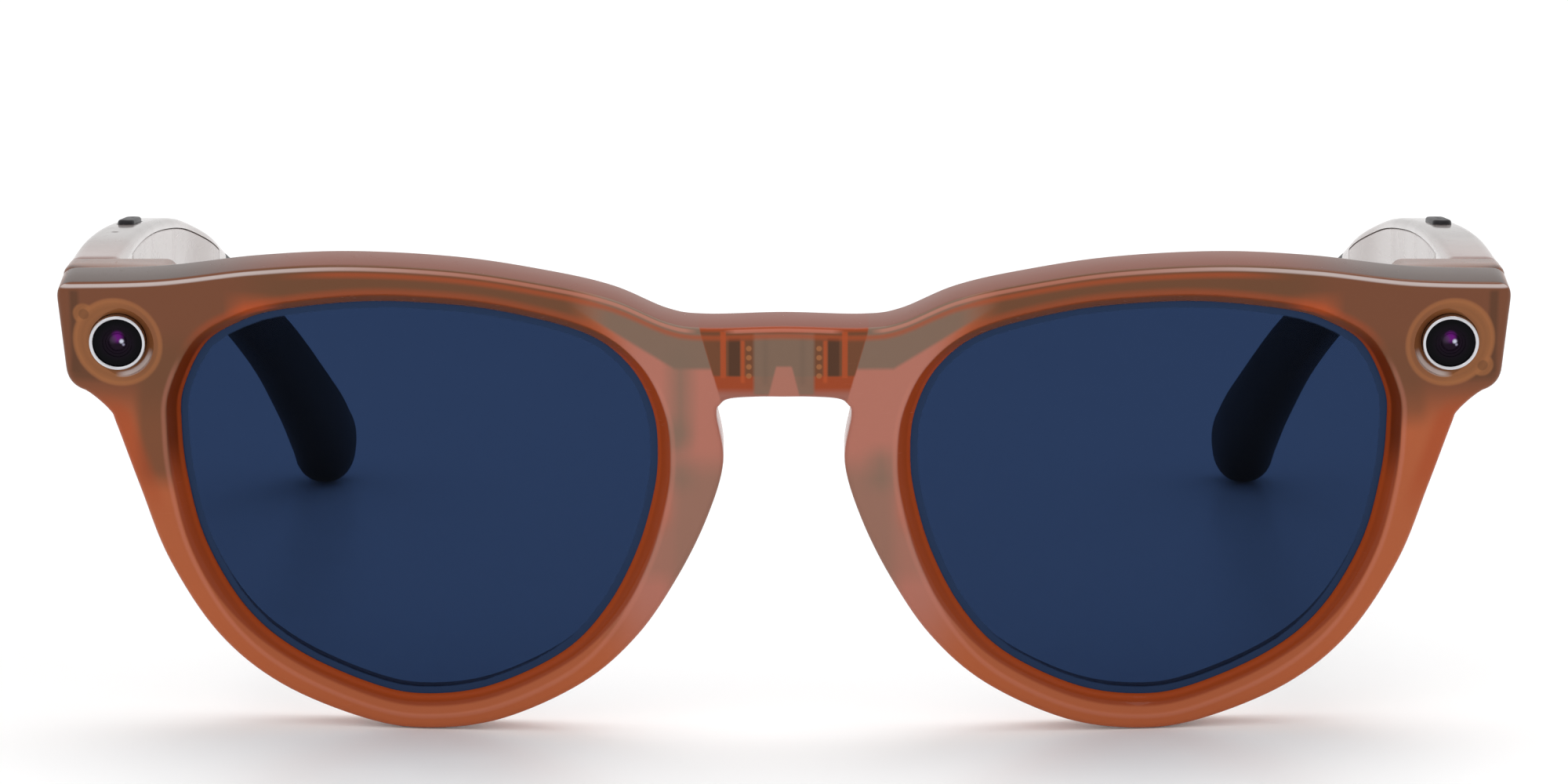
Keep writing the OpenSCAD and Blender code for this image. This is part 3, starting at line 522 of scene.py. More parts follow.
def opening_profile(m):
    """Wall of a lens opening: bevel, groove and rounded rear edge."""
    soft, lip = 0.14, 0.3
    back = m.groove_y + m.lens_t + 0.1
    rear = [(g, m.front_t - d) for g, d in arc(0.5, 4, 0, 90)]
    return [
        (m.bevel_w + 2 * soft, 0), (m.bevel_w + soft, 0), (m.bevel_w, 0.03), (m.bevel_w - soft, 0.14),
        (soft, m.groove_y - lip - 0.1), (0.02, m.groove_y - lip + 0.1), (0, m.groove_y),
        (m.groove_d, m.groove_y), (m.groove_d, back), (0, back), *rear, (0.65, m.front_t),
    ]


def band(m, gap):
    """Outline of the cover behind one side of the brow, counter-clockwise."""
    x0, x1 = m.cover_x + 0.45 + gap, m.end_x - 11.8 - gap
    line = m.brow_line[(m.brow_line[:, 0] > x0) & (m.brow_line[:, 0] < x1)]
    ends = [(x, np.interp(x, *m.brow_line.T)) for x in (x0, x1)]
    line = np.array([ends[0], *line, ends[1]])
    top, low = line - (0, 1.3 + gap), line - (0, 2.6 - gap)
    return rounded_corners(np.vstack([low, top[::-1]]), [0, len(low) - 1, len(low), 2 * len(low) - 1], 0.3)


def bridge_plate(m, gap):
    x, (z0, z1) = m.cover_x - gap, m.cover_z
    return box_ring(-x, x, z0 + gap, z1 - 0.35 - gap, (0.4,) * 4)


def plate_piece(m, name, loop, top, bottom, edge):
    """A thin plate in the plane of the front between two depths, with its rear edge rounded."""
    part = Plate()
    first, last = part.edge(loop, [(0, top), *((-g, bottom - d) for g, d in arc(edge, 3, 0, 90))])
    part.fill([first], top)
    part.fill([last], bottom)
    return new_object(name, part.leaned(m), part.faces)


def front_plate(m):
    """The leaning front with its openings and the recesses for its rear covers."""
    part = Plate()
    recess = m.front_t - 0.9
    walls = [part.edge(m.outline, outer_profile(m))]
    for loop in (m.opening, flipped(m.opening)):
        walls.append(part.edge(loop, opening_profile(m)))
    part.fill([w[0] for w in walls], 0)
    pits = []
    for loop in (band(m, 0), flipped(band(m, 0)), bridge_plate(m, 0)):
        profile = [(0.1, m.front_t), (0.05, m.front_t), (0, m.front_t - 0.08), (0, recess)]
        first, last = part.edge(loop, profile)
        part.fill([last], recess)
        pits.append(first)
    part.fill([w[1] for w in walls] + pits, m.front_t)
    return new_object("front_frame_resin", part.leaned(m), part.faces)


def plate_y(m, x, z, depth):
    """Y of the leaning plate, at upright height z, for that depth."""
    c, s = math.cos(m.tilt), math.sin(m.tilt)
    y = wrap(m, x, depth)
    return y * c - (z - y * s) / c * s


def end_block(m, side):
    """Block behind one end of the front, with the hinge pocket in its butt."""
    x0, x1, z0, z1 = m.block_in, m.end_x - 0.15, m.block_low, m.block_top
    radii = (1.6, 1.2, 1.0, 1.2)

    def ring(inset):
        rounded = [max(r - inset, 0.2) for r in radii]
        return box_ring(x0 + inset, x1 - inset, z0 + inset, z1 - inset, rounded)

    rings = []
    for inset, depth in ((1.3, m.front_t - 2.2), (0.12, m.front_t - 0.1), (0, m.front_t + 0.6)):
        r = ring(inset)
        rings.append(np.column_stack([r[:, 0], plate_y(m, r[:, 0], r[:, 1], depth), r[:, 1]]))
    for inset, back in ((0, 0.35), (0.1, 0.1), (0.35, 0)):
        r = ring(inset)
        rings.append(np.column_stack([r[:, 0], np.full(len(r), m.butt_y - back), r[:, 1]]))
    hole = box_ring(*m.pocket, (0.25,) * 4)
    for y in (m.butt_y, m.butt_y - 1.3):
        rings.append(np.column_stack([hole[:, 0], np.full(len(hole), y), hole[:, 1]]))
    shell = Shell()
    shell.loft([to_row(m, *(r * (side, 1, 1)).T) for r in rings])
    return new_object("end_block", shell.points, shell.faces)


def nose_pad(m, side):
    """Moulded pad behind the nose side of a rim."""
    high = m.lens_points[6] + 3.5 * simple_normal(m.lens_points, 6)
    low = m.lens_points[7] + 2.6 * simple_normal(m.lens_points, 7)
    r = 1.88
    ends = [(high[0] * side, m.front_t + 0.1, high[1]), (low[0] * side, m.front_t + 0.3, low[1])]
    a, b = lean(m, *np.array(ends).T)
    length = np.linalg.norm(b - a) / MM
    cap = [(r * math.cos(t), r * math.sin(t)) for t in np.radians(np.linspace(8, 90, 9))]
    profile = [(-p, q) for p, q in cap] + [(length + p, q) for p, q in cap[::-1]]
    shell = Shell()
    shell.loft(turned(a, b - a, [(p * MM, q * MM) for p, q in profile], 32))
    return new_object("nose_pad", shell.points, shell.faces)


def camera_axis(m, side):
    """Middle of a camera's window on the front face, and the way that the camera looks."""
    depths = np.array([m.camera_y, m.camera_y - 1])
    spots = lean(m, np.full(2, side * m.camera_x), depths, np.full(2, m.camera_z))
    return spots[0], spots[1] - spots[0]


def camera_seat(m, side):
    """Cutter for a camera's bore and the shallow dish round it."""
    centre, look = camera_axis(m, side)
    r = m.window_r + m.bezel_t
    profile = [(-2, 0.05), (-2, r + 0.04), (-0.45, r + 0.04), (0.05, r + 0.75), (1.2, r + 0.9), (1.2, 0.05)]
    shell = Shell()
    shell.loft(turned(centre, look, [(a * MM, q * MM) for a, q in profile]))
    return new_object("camera_seat", shell.points, shell.faces)


def resin_fields(m, made):
    """Attributes that the resin reads: place in the plane, drop below the brow, gaps to lens and edge."""
    plan = plan_of(m, [v.co for v in made.data.vertices])
    openings = np.vstack([m.opening, flipped(m.opening)])
    lens_gap, edge_gap = (
        [np.min(np.hypot(*(loop - p).T)) for p in plan[:, [0, 2]]] for loop in (openings, m.outline)
    )
    drop = np.interp(plan[:, 0], *m.brow_line.T) - plan[:, 2]
    fields = (("plan", "FLOAT_VECTOR", plan), ("brow_drop", "FLOAT", drop),
              ("lens_gap", "FLOAT", np.array(lens_gap)), ("edge_gap", "FLOAT", np.array(edge_gap)))
    for name, kind, values in fields:
        field = made.data.attributes.new(name, kind, "POINT")
        part = "vector" if kind == "FLOAT_VECTOR" else "value"
        field.data.foreach_set(part, values.astype(np.float32).ravel())


class GLASSES_OT_front(bpy.types.Operator):
    """Make the resin front and its rear covers"""

    bl_idname = "glasses.front"
    bl_label = "Front"

    def execute(self, context):
        m = measures()
        resin = resin_material()
        front = front_plate(m)
        extras = [f(m, side) for f in (end_block, nose_pad) for _, side in SIDES]
        combine(front, extras, "UNION")
        combine(front, [camera_seat(m, side) for _, side in SIDES], "DIFFERENCE")
        covers = [("bridge_cover", bridge_plate(m, 0.06))]
        covers += [("brow_cover_left", band(m, 0.06)), ("brow_cover_right", flipped(band(m, 0.06)))]
        for node, loop in covers:
            cover = plate_piece(m, node + "_resin", loop, m.front_t - 0.86, m.front_t, 0.12)
            resin_fields(m, cover)
            settle(cover, "front", "caramel_resin", resin, node)
        resin_fields(m, front)
        settle(front, "front", "caramel_resin", resin, "front_frame")
        return {"FINISHED"}


class GLASSES_OT_lenses(bpy.types.Operator):
    """Make the two tinted lenses"""

    bl_idname = "glasses.lenses"
    bl_label = "Lenses"

    def execute(self, context):
        m = measures()
        glass = lens_material()
        for side, sign in SIDES:
            loop = m.opening if sign > 0 else flipped(m.opening)
            depth = m.groove_y + 0.05
            part = Plate()
            edge = m.groove_d - 0.05
            profile = [(edge - 0.15, depth), (edge, depth + 0.15), (edge, depth + m.lens_t - 0.15),
                       (edge - 0.15, depth + m.lens_t)]
            first, last = part.edge(loop, profile)
            part.fill([first], depth)
            part.fill([last], depth + m.lens_t)
            lens = new_object(f"lens_{side}_glass", part.leaned(m), part.faces)
            rim = grown(loop, edge)
            plan = plan_of(m, [v.co for v in lens.data.vertices])
            behind = 0.6 * (plan[:, 1] > depth + m.lens_t / 2)
            inward = behind + [np.min(np.hypot(*(rim - p).T)) for p in plan[:, [0, 2]]]
            lens.data.attributes.new("from_edge", "FLOAT", "POINT").data.foreach_set("value", inward)
            settle(lens, "front", "navy_lens", glass, f"lens_{side}")
        return {"FINISHED"}


class GLASSES_OT_cameras(bpy.types.Operator):
    """Make the camera windows, their optics and their polished rings"""

    bl_idname = "glasses.cameras"
    bl_label = "Cameras"

    def execute(self, context):
        m = measures()
        glass = camera_material(m)
        ring = metal_material("polished_ring", context.scene.glasses_finish.steel, 0.12)
        w, t = m.window_r, m.bezel_t
        for side, sign in SIDES:
            centre, look = camera_axis(m, sign)
            # Rounded ring that stands half a millimetre proud
            turns = np.radians(range(0, 181, 20))
            lip = [(0.3 + 0.2 * math.sin(a), w + t / 2 - t / 2 * math.cos(a)) for a in turns]
            profile = [(-1.5, w), (0.1, w), *lip, (0.1, w + t), (-1.5, w + t), (-1.5, w)]
            shell = Shell()
            shell.loft(turned(centre, look, [(a * MM, q * MM) for a, q in profile]), caps=False)
            bezel = new_object(f"camera_bezel_{side}_ring", shell.points, shell.faces, 50)
            settle(bezel, "front", "polished_ring", ring, f"camera_bezel_{side}")
            # Window with stepped rings that lead down to a small dome
            steps = [(0.2, w - 0.02), (0.25, w - 0.12), (0.25, w * 0.62), (0.12, w * 0.6), (0.12, w * 0.5),
                     (0.0, w * 0.48), (0.0, w * 0.4), (-0.1, w * 0.38)]
            dome_r = w * 0.36
            turns = np.radians((0, 15, 30, 45, 60, 72, 84))
            dome = [(-0.1 + 0.28 * math.sin(a), dome_r * math.cos(a)) for a in turns]
            profile = [(-0.5, 0.05), (-0.5, w - 0.02), *steps, *dome, (0.18, 0.03)]
            shell = Shell()
            shell.loft(turned(centre, look, [(a * MM, q * MM) for a, q in profile]))
            eye = new_object(f"camera_window_{side}_eye", shell.points, shell.faces, 30)
            settle(eye, "front", "camera_glass", glass, f"camera_window_{side}")
        return {"FINISHED"}


# Temples


def temple_lines(m):
    """Outlines of a temple along Y: its top and low heights, and its outer and inner faces' distances."""

    def run(share):
        return m.root_y + share * m.housing_l

    top, low, out = m.block_top, m.block_low, m.end_x
    m.lines = {
        "top": [(run(0), top), (run(0.17), top - 0.2), (run(0.35), top - 1.3), (run(0.55), top - 3.3),
                (run(0.75), top - 6), (run(0.89), top - 9.3), (m.ear_y, m.ear_z_mid + m.ear_h / 2)],
        "low": [(run(0), low), (run(0.17), low - 1.6), (run(0.38), low - 3), (run(0.6), low - 3.9),
                (run(0.75), low - 5.2), (run(0.89), low - 7.5), (m.ear_y, m.ear_z_mid - m.ear_h / 2)],
        "outer": [(run(0), out + 0.1), (run(0.27), out + 0.3), (run(0.6), out), (run(0.75), out - 1.1),
                  (run(0.89), out - 2.7), (m.ear_y, m.ear_x_mid + m.ear_t / 2)],
        "inner": [(run(0), out + 0.1 - m.temple_t), (run(0.17), out + 0.5 - m.temple_t),
                  (run(0.5), out + 0.8 - m.temple_t), (run(0.75), out + 0.3 - m.temple_t),
                  (run(0.89), out - 1.3 - m.temple_t), (m.ear_y, m.ear_x_mid - m.ear_t / 2)],
    }
    m.lines = {name: open_curve(points, 10) for name, points in m.lines.items()}


def at(m, line, y):
    return float(np.interp(y, *m.lines[line].T))


def slope_at(m, line, y):
    return math.atan2(at(m, line, y + 4) - at(m, line, y - 4), 8)


def temple_ring(m, side, y, inset=0.0):
    """Rounded section of a temple at y."""
    radii = [m.round_in, m.round_out, m.round_out, m.round_in]
    ring = box_ring(at(m, "inner", y) + inset, at(m, "outer", y) - inset, at(m, "low", y) + inset,
                    at(m, "top", y) - inset, [max(r - inset, 0.2) for r in radii], 6)
    return to_row(m, ring[:, 0] * side, np.full(len(ring), y), ring[:, 1])


def cover_solid(m, side, name, gap, out_by, depth):
    """The inner cover, or with a negative gap the cutter for its seat."""
    y0, y1 = m.cavity_y + gap, m.cavity_end - gap

    def ring(y, inset):
        x = at(m, "inner", y)
        edge = m.wall + gap + inset
        loop = box_ring(x - out_by + inset, x + depth, at(m, "low", y) + edge, at(m, "top", y) - edge,
                        (0.25, 0.2, 0.2, 0.25), 3)
        return to_row(m, loop[:, 0] * side, np.full(len(loop), y), loop[:, 1])

    shell = Shell()
    inner = [ring(y, 0) for y in np.linspace(y0 + 0.15, y1 - 0.15, 44)]
    shell.loft([ring(y0, 0.1), *inner, ring(y1, 0.1)])
    return new_object(name, shell.points, shell.faces)


def prism(name, loop, origin, across, along, up, profile):
    """A closed upright part: loop lies in the across and along plane, profile holds growth and height."""
    shell = Shell()
    basis = np.array([across, along, up], float)
    rings = []
    for growth, height in profile:
        flat = grown(loop, growth)
        local = np.column_stack([flat, np.full(len(flat), height)]) * MM
        rings.append(np.array(origin) + local @ basis)
    shell.loft(rings)
    return new_object(name, shell.points, shell.faces)


def stadium(width, length):
    """A slot's outline, counter-clockwise, with its length along the second axis."""
    r, straight = width / 2, (length - width) / 2
    angles = np.radians(np.linspace(0, 180, 13))
    top = np.column_stack([r * np.cos(angles), straight + r * np.sin(angles)])
    return np.vstack([top, -top])


def top_place(m, side, y):
    """Origin, across, along and up of a place on the temple's top edge."""
    x = (at(m, "outer", y) - m.wall + at(m, "inner", y) + m.inner_t) / 2
    s = slope_at(m, "top", y)
    origin = to_row(m, side * x, y, at(m, "top", y))[0]
    return origin, (1, 0, 0), (0, math.cos(s), math.sin(s)), (0, -math.sin(s), math.cos(s))


def low_place(m, side, y):
    """The same on the lower edge, with up pointing out of the temple."""
    x = (at(m, "outer", y) - m.wall + at(m, "inner", y) + m.inner_t) / 2
    s = slope_at(m, "low", y)
    origin = to_row(m, side * x, y, at(m, "low", y))[0]
    return origin, (-1, 0, 0), (0, math.cos(s), math.sin(s)), (0, math.sin(s), -math.cos(s))


def slider_place(m):
    """The same on the left temple's inner face, at the slider's middle when it is off."""
    y = m.root_y + m.slider_y
    z = (at(m, "top", y) + at(m, "low", y)) / 2
    return to_row(m, at(m, "inner", y), y, z)[0], (0, 0, 1), (0, 1, 0), (-1, 0, 0)


KNUCKLE_R, KNUCKLE_H, KNUCKLE_GAP = 1.7, 2.3, 0.15
LEAF_L, LEAF_H, LEAF_STEP, LEAF_T = 9, 6, 2.2, 1
BUTTON_PROUD = 0.5
SLOT_GAP = 0.15
SPEAKER_SHARE = 0.61
SPEAKER_L = 10


def hinge_cutters(m, side):
    """Room for the knuckles and seat of the leaf at the root of a temple."""
    height = 3 * KNUCKLE_H + 2 * KNUCKLE_GAP
    z0 = (m.block_low + m.block_top - height) / 2
    base = to_row(m, side * m.hinge_x, m.hinge_y, z0 - 0.3)[0]
    shell = Shell()
    r = KNUCKLE_R + SLOT_GAP
    shell.loft(turned(base, (0, 0, 1), [(0, r * MM), ((height + 0.6) * MM, r * MM)], 40))
    cutters = [new_object("knuckle_room", shell.points, shell.faces)]
    leaf_x = m.hinge_x + KNUCKLE_R + 0.05
    middle = z0 + height / 2
    for y0, half in ((m.hinge_y, KNUCKLE_H / 2 + 0.05), (m.root_y + LEAF_STEP - 0.05, LEAF_H / 2 + 0.05)):
        ring = box_ring(leaf_x - LEAF_T - 1, leaf_x, middle - half, middle + half, (0.05,) * 4, 1)
        shell = Shell()
        shell.loft([to_row(m, side * ring[:, 0], np.full(len(ring), y), ring[:, 1])
                    for y in (y0, m.root_y + LEAF_L + 0.05)])
        cutters.append(new_object("leaf_room", shell.points, shell.faces))
    return cutters


class GLASSES_OT_temples(bpy.types.Operator):
    """Make the two temple housings and their inner covers"""

    bl_idname = "glasses.temples"
    bl_label = "Temples"

    def execute(self, context):
        m = measures()
        smoke, cover_finish = smoke_material(), cover_material()
        for side, sign in SIDES:
            rings = [temple_ring(m, sign, m.root_y, 0.3), temple_ring(m, sign, m.root_y + 0.09, 0.09)]
            rings += [temple_ring(m, sign, y) for y in np.linspace(m.root_y + 0.3, m.ear_y, 72)]
            shell = Shell()
            shell.loft(rings)
            temple = new_object(f"temple_shell_{side}_resin", shell.points, shell.faces)
            press_y = m.root_y + m.button_y
            slot = stadium(m.button_w + 2 * SLOT_GAP, m.button_l + 2 * SLOT_GAP)
            speaker_y = m.root_y + SPEAKER_SHARE * m.housing_l + SPEAKER_L / 2
            cutters = hinge_cutters(m, sign)
            cutters.append(cover_solid(m, sign, "cover_room", -0.001, 0.6, m.inner_t + 0.05))
            cutters.append(prism("button_room", slot, *top_place(m, sign, press_y), [(0, -1.4), (0, 1)]))
            opening = [(0, -0.7), (0, -0.1), (0.15, 0.1), (0.2, 0.6)]
            place = low_place(m, sign, speaker_y)
            cutters.append(prism("speaker_room", stadium(1.2, SPEAKER_L - 3), *place, opening))
            if side == "right":
                place = top_place(m, sign, m.root_y + 22)
                cutters.append(prism("microphone_room", stadium(0.8, 0.801), *place, [(0, -1.5), (0, 1)]))
            combine(temple, cutters, "DIFFERENCE")
            settle(temple, f"temple_{side}", "smoky_resin", smoke, f"temple_shell_{side}")
            cover = cover_solid(m, sign, f"temple_cover_{side}_panel", 0.06, 0, m.inner_t - 0.05)
            if side == "left":
                origin, across, along, up = slider_place(m)
                middle = origin + np.array(along) * m.slider_travel / 2 * MM
                slit = stadium(1.6 + 2 * SLOT_GAP, m.slider_l + m.slider_travel + 2 * SLOT_GAP)
                room = prism("slider_room", slit, middle, across, along, up, [(0, -2), (0, 1)])
                combine(cover, [room], "DIFFERENCE")
            settle(cover, f"temple_{side}", "smoky_resin", cover_finish, f"temple_cover_{side}")
        return {"FINISHED"}


# Shares of the length, the drop and the inward bend, then height and thickness between neck and paddle
TIP_FORM = (
    (0.156, 0.094, 0.136, 0, 0), (0.325, 0.275, 0.364, 0, 0.09), (0.494, 0.48, 0.6, 0.19, 0.3),
    (0.649, 0.7, 0.8, 0.5, 0.55), (0.784, 0.88, 0.936, 0.8, 0.85), (0.873, 1, 1, 1, 1),
)


def tip_rings(m, side, sides=36):
    """Rings of an ear tip, along a curve that drops to the table and bends inwards."""
    drop = m.ear_z_mid - m.paddle_h / 2 - m.rest_z
    neck_h, neck_t = m.ear_h - 0.8, m.ear_t - 0.2
    path = open_curve([(m.ear_x_mid, m.ear_y, m.ear_z_mid, m.ear_h, m.ear_t)] + [
        (m.ear_x_mid - bend * m.tip_in, m.ear_y + along * m.tip_l, m.ear_z_mid - down * drop,
         neck_h + tall * (m.paddle_h - neck_h), neck_t + thick * (m.paddle_t - neck_t))
        for along, down, bend, tall, thick in TIP_FORM], 8)
    angles = np.linspace(0, 2 * math.pi, sides, endpoint=False)
    cosines, sines = np.cos(angles), np.sin(angles)

    def ring(centre, heading, height, width, power):
        across = np.cross((0, 0, 1), heading)
        across /= np.linalg.norm(across)
        up = np.cross(heading, across)
        a = np.sign(cosines) * np.abs(cosines) ** power * width / 2
        b = np.sign(sines) * np.abs(sines) ** power * height / 2
        spots = centre + np.outer(a, across) + np.outer(b, up)
        return to_row(m, spots[:, 0] * side, spots[:, 1], spots[:, 2])

    headings = np.gradient(path[:, :3], axis=0)
    headings[0] = (0, 1, 0)
    headings /= np.linalg.norm(headings, axis=1)[:, None]
    shares = np.linspace(0, 1, len(path))
    rings = [ring(p[:3], h, p[3], p[4], 0.62 + 0.2 * s) for p, h, s in zip(path, headings, shares)]
    end, heading = path[-1], headings[-1]
    for a in np.radians((12, 24, 36, 48, 59, 69, 78, 85)):
        centre = end[:3] + heading * math.sin(a) * end[3] * 0.495
        wide, tall = end[3] * math.cos(a), end[4] * math.cos(a) ** 0.6
        rings.append(ring(centre, heading, wide, tall, 0.82 + 0.1 * a))
    return rings


class GLASSES_OT_tips(bpy.types.Operator):
    """Make the soft black ear tips"""

    bl_idname = "glasses.tips"
    bl_label = "Ear Tips"

    def execute(self, context):
        m = measures()
        grip = grip_material()
        for side, sign in SIDES:
            shell = Shell()
            shell.loft(tip_rings(m, sign))
            tip = new_object(f"ear_tip_{side}_grip", shell.points, shell.faces, 50)
            settle(tip, f"temple_{side}", "black_grip", grip, f"ear_tip_{side}")
        return {"FINISHED"}


class GLASSES_OT_controls(bpy.types.Operator):
    """Make the capture button, the microphone port and the power slider"""

    bl_idname = "glasses.controls"
    bl_label = "Controls"

    def execute(self, context):
        m = measures()
        grip = grip_material()
        press_y = m.root_y + m.button_y
        crown = [(0, BUTTON_PROUD - 0.3), (-0.06, BUTTON_PROUD - 0.12), (-0.18, BUTTON_PROUD - 0.03),
                 (-0.35, BUTTON_PROUD), (-0.5, BUTTON_PROUD - 0.02), (-0.8, BUTTON_PROUD - 0.1)]
        outline = stadium(m.button_w, m.button_l)
        button = prism("capture_button_cap", outline, *top_place(m, -1, press_y), [(0, -0.75), *crown])
        settle(button, "capture_button", "black_grip", grip, "capture_button")
        outline = stadium(m.button_w + 2 * SLOT_GAP - 0.04, m.button_l + 2 * SLOT_GAP - 0.04)
        place = top_place(m, 1, press_y)
        port = prism("microphone_port_cap", outline, *place, [(0, -0.9), *crown[:-2]])
        holes = []
        for step in (-1, 1):
            origin = place[0] + np.array(place[2]) * step * MM
            holes.append(prism("port_hole", stadium(0.6, 0.601), origin, *place[1:], [(0, -0.3), (0, 1)]))
        combine(port, holes, "DIFFERENCE")
        settle(port, "temple_left", "black_grip", grip, "microphone_port")
        place = slider_place(m)
        knob = prism("power_slider_knob", stadium(1.6, m.slider_l), *place,
                     [(0, -0.95), (0, 0.2), (-0.05, 0.28), (-0.16, 0.32)])
        ribs = grown_row("power_slider_ribs", rib_tree(), 5, 0.55, place)
        combine(knob, [ribs], "UNION")
        settle(knob, "power_slider", "black_grip", grip, "power_slider")
        return {"FINISHED"}


# Repeated details, made by geometry nodes

CONTACT_PITCH = 0.95
CONTACTS_ALONG = 4


class Graph:
    """Short ways to add and join nodes in a node tree."""

    def __init__(self, tree):
        self.tree = tree

    def feed(self, socket, value):
        if isinstance(value, bpy.types.NodeSocket):
            self.tree.links.new(value, socket)
        else:
            socket.default_value = value

    def node(self, kind, inputs=None, **settings):
        made = self.tree.nodes.new(kind)
        for name, value in settings.items():
            setattr(made, name, value)
        for name, value in (inputs or {}).items():
            self.feed(made.inputs[name], value)
        return made

    def math(self, operation, *values):
        made = self.node("ShaderNodeMath", dict(enumerate(values)), operation=operation)
        return made.outputs[0]

    def minus(self, a, b):
        return self.math("SUBTRACT", a, b)

    def reach(self, a, b):
        """How far a point lies from the spot that its two offsets are counted from."""
        return self.math("SQRT", self.math("ADD", self.times(a, a), self.times(b, b)))

    def mix(self, share, a, b):
        """The second colour laid over the first where share is 1."""
        made = self.node("ShaderNodeMix", data_type="RGBA")
        for index, value in ((0, share), (6, a), (7, b)):
            self.feed(made.inputs[index], value)
        return made.outputs[2]

    def lay(self, colour, mask, share, over):
        """The colour over laid on another where mask is 1, as strongly as share."""
        return self.mix(self.times(mask, share), colour, over)

    def ramp(self, value, low, high):
        """0 at low and 1 at high, with soft ends. low may be above high."""
        made = self.node("ShaderNodeMapRange", {"Value": value}, interpolation_type="SMOOTHSTEP")
        if low > high:
            low, high = high, low
            made.inputs["To Min"].default_value, made.inputs["To Max"].default_value = 1, 0
        made.inputs["From Min"].default_value, made.inputs["From Max"].default_value = low, high
        return made.outputs[0]

    def times(self, *values):
        total = values[0]
        for value in values[1:]:
            total = self.math("MULTIPLY", total, value)
        return total


def sockets(tree, direction, **kinds):
    for name, kind in kinds.items():
        kind = "NodeSocket" + kind
        tree.interface.new_socket(name=name.replace("_", " "), in_out=direction, socket_type=kind)


def row_tree(name):
    """A tree that sets copies of a shape on a grid, with the nodes that come before and after the shape."""
    tree = bpy.data.node_groups.new(name, "GeometryNodeTree")
    tree.is_modifier = True
    sockets(tree, "INPUT", Geometry="Geometry", Columns="Int", Rows="Int", Across="Float", Along="Float",
            Radius="Float", Height="Float", Finish="Material")
    sockets(tree, "OUTPUT", Geometry="Geometry")
    g = Graph(tree)
    given = g.node("NodeGroupInput").outputs
    grid = g.node("GeometryNodeMeshGrid", {"Size X": given["Across"], "Size Y": given["Along"],
                                           "Vertices X": given["Columns"], "Vertices Y": given["Rows"]})
    return tree, g, given, grid.outputs["Mesh"]


def close_row_tree(tree, g, given, spots, shape):
    """Instances the shape on the spots, makes them real and sets their material."""
    points = g.node("GeometryNodeMeshToPoints", {"Mesh": spots})
    copies = g.node("GeometryNodeInstanceOnPoints", {"Points": points.outputs[0], "Instance": shape})
    real = g.node("GeometryNodeRealizeInstances", {"Geometry": copies.outputs[0]})
    done = g.node("GeometryNodeSetMaterial", {"Geometry": real.outputs[0], "Material": given["Finish"]})
    g.node("NodeGroupOutput", {"Geometry": done.outputs[0]})
    return tree


def lifted(g, shape, height):
    """A shape moved up by that height."""
    lift = g.node("ShaderNodeCombineXYZ", {"Z": height}).outputs[0]
    return g.node("GeometryNodeTransform", {"Geometry": shape.outputs["Mesh"], "Translation": lift})


def pin_tree():
    """Rows of pins with a narrower crown."""
    tree, g, given, spots = row_tree("pin_rows")
    radius, height = given["Radius"], given["Height"]
    body = g.node("GeometryNodeMeshCylinder", {"Vertices": 20, "Radius": radius, "Depth": height})
    crown_r = g.math("MULTIPLY", radius, 0.7)
    crown_h = g.math("MULTIPLY", radius, 0.35)
    crown = g.node("GeometryNodeMeshCone", {"Vertices": 20, "Radius Top": crown_r, "Radius Bottom": radius,
                                            "Depth": crown_h})
    raised = lifted(g, crown, g.math("MULTIPLY", height, 0.5))
    both = g.node("GeometryNodeJoinGeometry")
    tree.links.new(raised.outputs[0], both.inputs[0])
    tree.links.new(body.outputs["Mesh"], both.inputs[0])
    return close_row_tree(tree, g, given, spots, both.outputs[0])


def screw_tree():
    """Round screw heads with a straight slot."""
    tree, g, given, spots = row_tree("screw_heads")
    radius, height = given["Radius"], given["Height"]
    head = g.node("GeometryNodeMeshCylinder", {"Vertices": 24, "Radius": radius, "Depth": height})
    width = g.math("MULTIPLY", radius, 3)
    slot_w = g.math("MULTIPLY", radius, 0.32)
    cut = g.node("ShaderNodeCombineXYZ", {"X": slot_w, "Y": width, "Z": height})
    bar = g.node("GeometryNodeMeshCube", {"Size": cut.outputs[0]})
    raised = lifted(g, bar, g.math("MULTIPLY", height, 0.6))
    meshes = {"Mesh 1": head.outputs["Mesh"], "Mesh 2": raised.outputs[0]}
    slotted = g.node("GeometryNodeMeshBoolean", meshes, operation="DIFFERENCE", solver="EXACT")
    return close_row_tree(tree, g, given, spots, slotted.outputs["Mesh"])


def rib_tree():
    """Round ribs that lie across a row."""
    tree, g, given, spots = row_tree("grip_ribs")
    radius, height = given["Radius"], given["Height"]
    rib = g.node("GeometryNodeMeshCylinder", {"Vertices": 12, "Radius": radius, "Depth": height})
    turn = (0, math.pi / 2, 0)
    lying = g.node("GeometryNodeTransform", {"Geometry": rib.outputs["Mesh"], "Rotation": turn})
    return close_row_tree(tree, g, given, spots, lying.outputs[0])


def rows(name, tree, finish, place, columns, count, across, along, radius, height, lift=0.0):
    """Rows of details on a place, with sizes in millimetres, as a plain mesh."""
    made = bpy.data.objects.new(name, bpy.data.meshes.new(name))
    bpy.context.scene.collection.objects.link(made)
    modifier = made.modifiers.new("rows", "NODES")
    modifier.node_group = tree
    values = {"Columns": columns, "Rows": count, "Across": across * MM, "Along": along * MM,
              "Radius": radius * MM, "Height": height * MM, "Finish": finish}
    for item in tree.interface.items_tree:
        if item.item_type == "SOCKET" and item.name in values:
            modifier[item.identifier] = values[item.name]
    plain(made)
    origin, a, b, up = (np.array(v, float) for v in place)
    local = np.array([v.co for v in made.data.vertices])
    spots = origin + local @ np.array([a, b, up]) + up * lift * MM
    made.data.vertices.foreach_set("co", spots.astype(np.float32).ravel())
    finish_mesh(made.data)
    return made


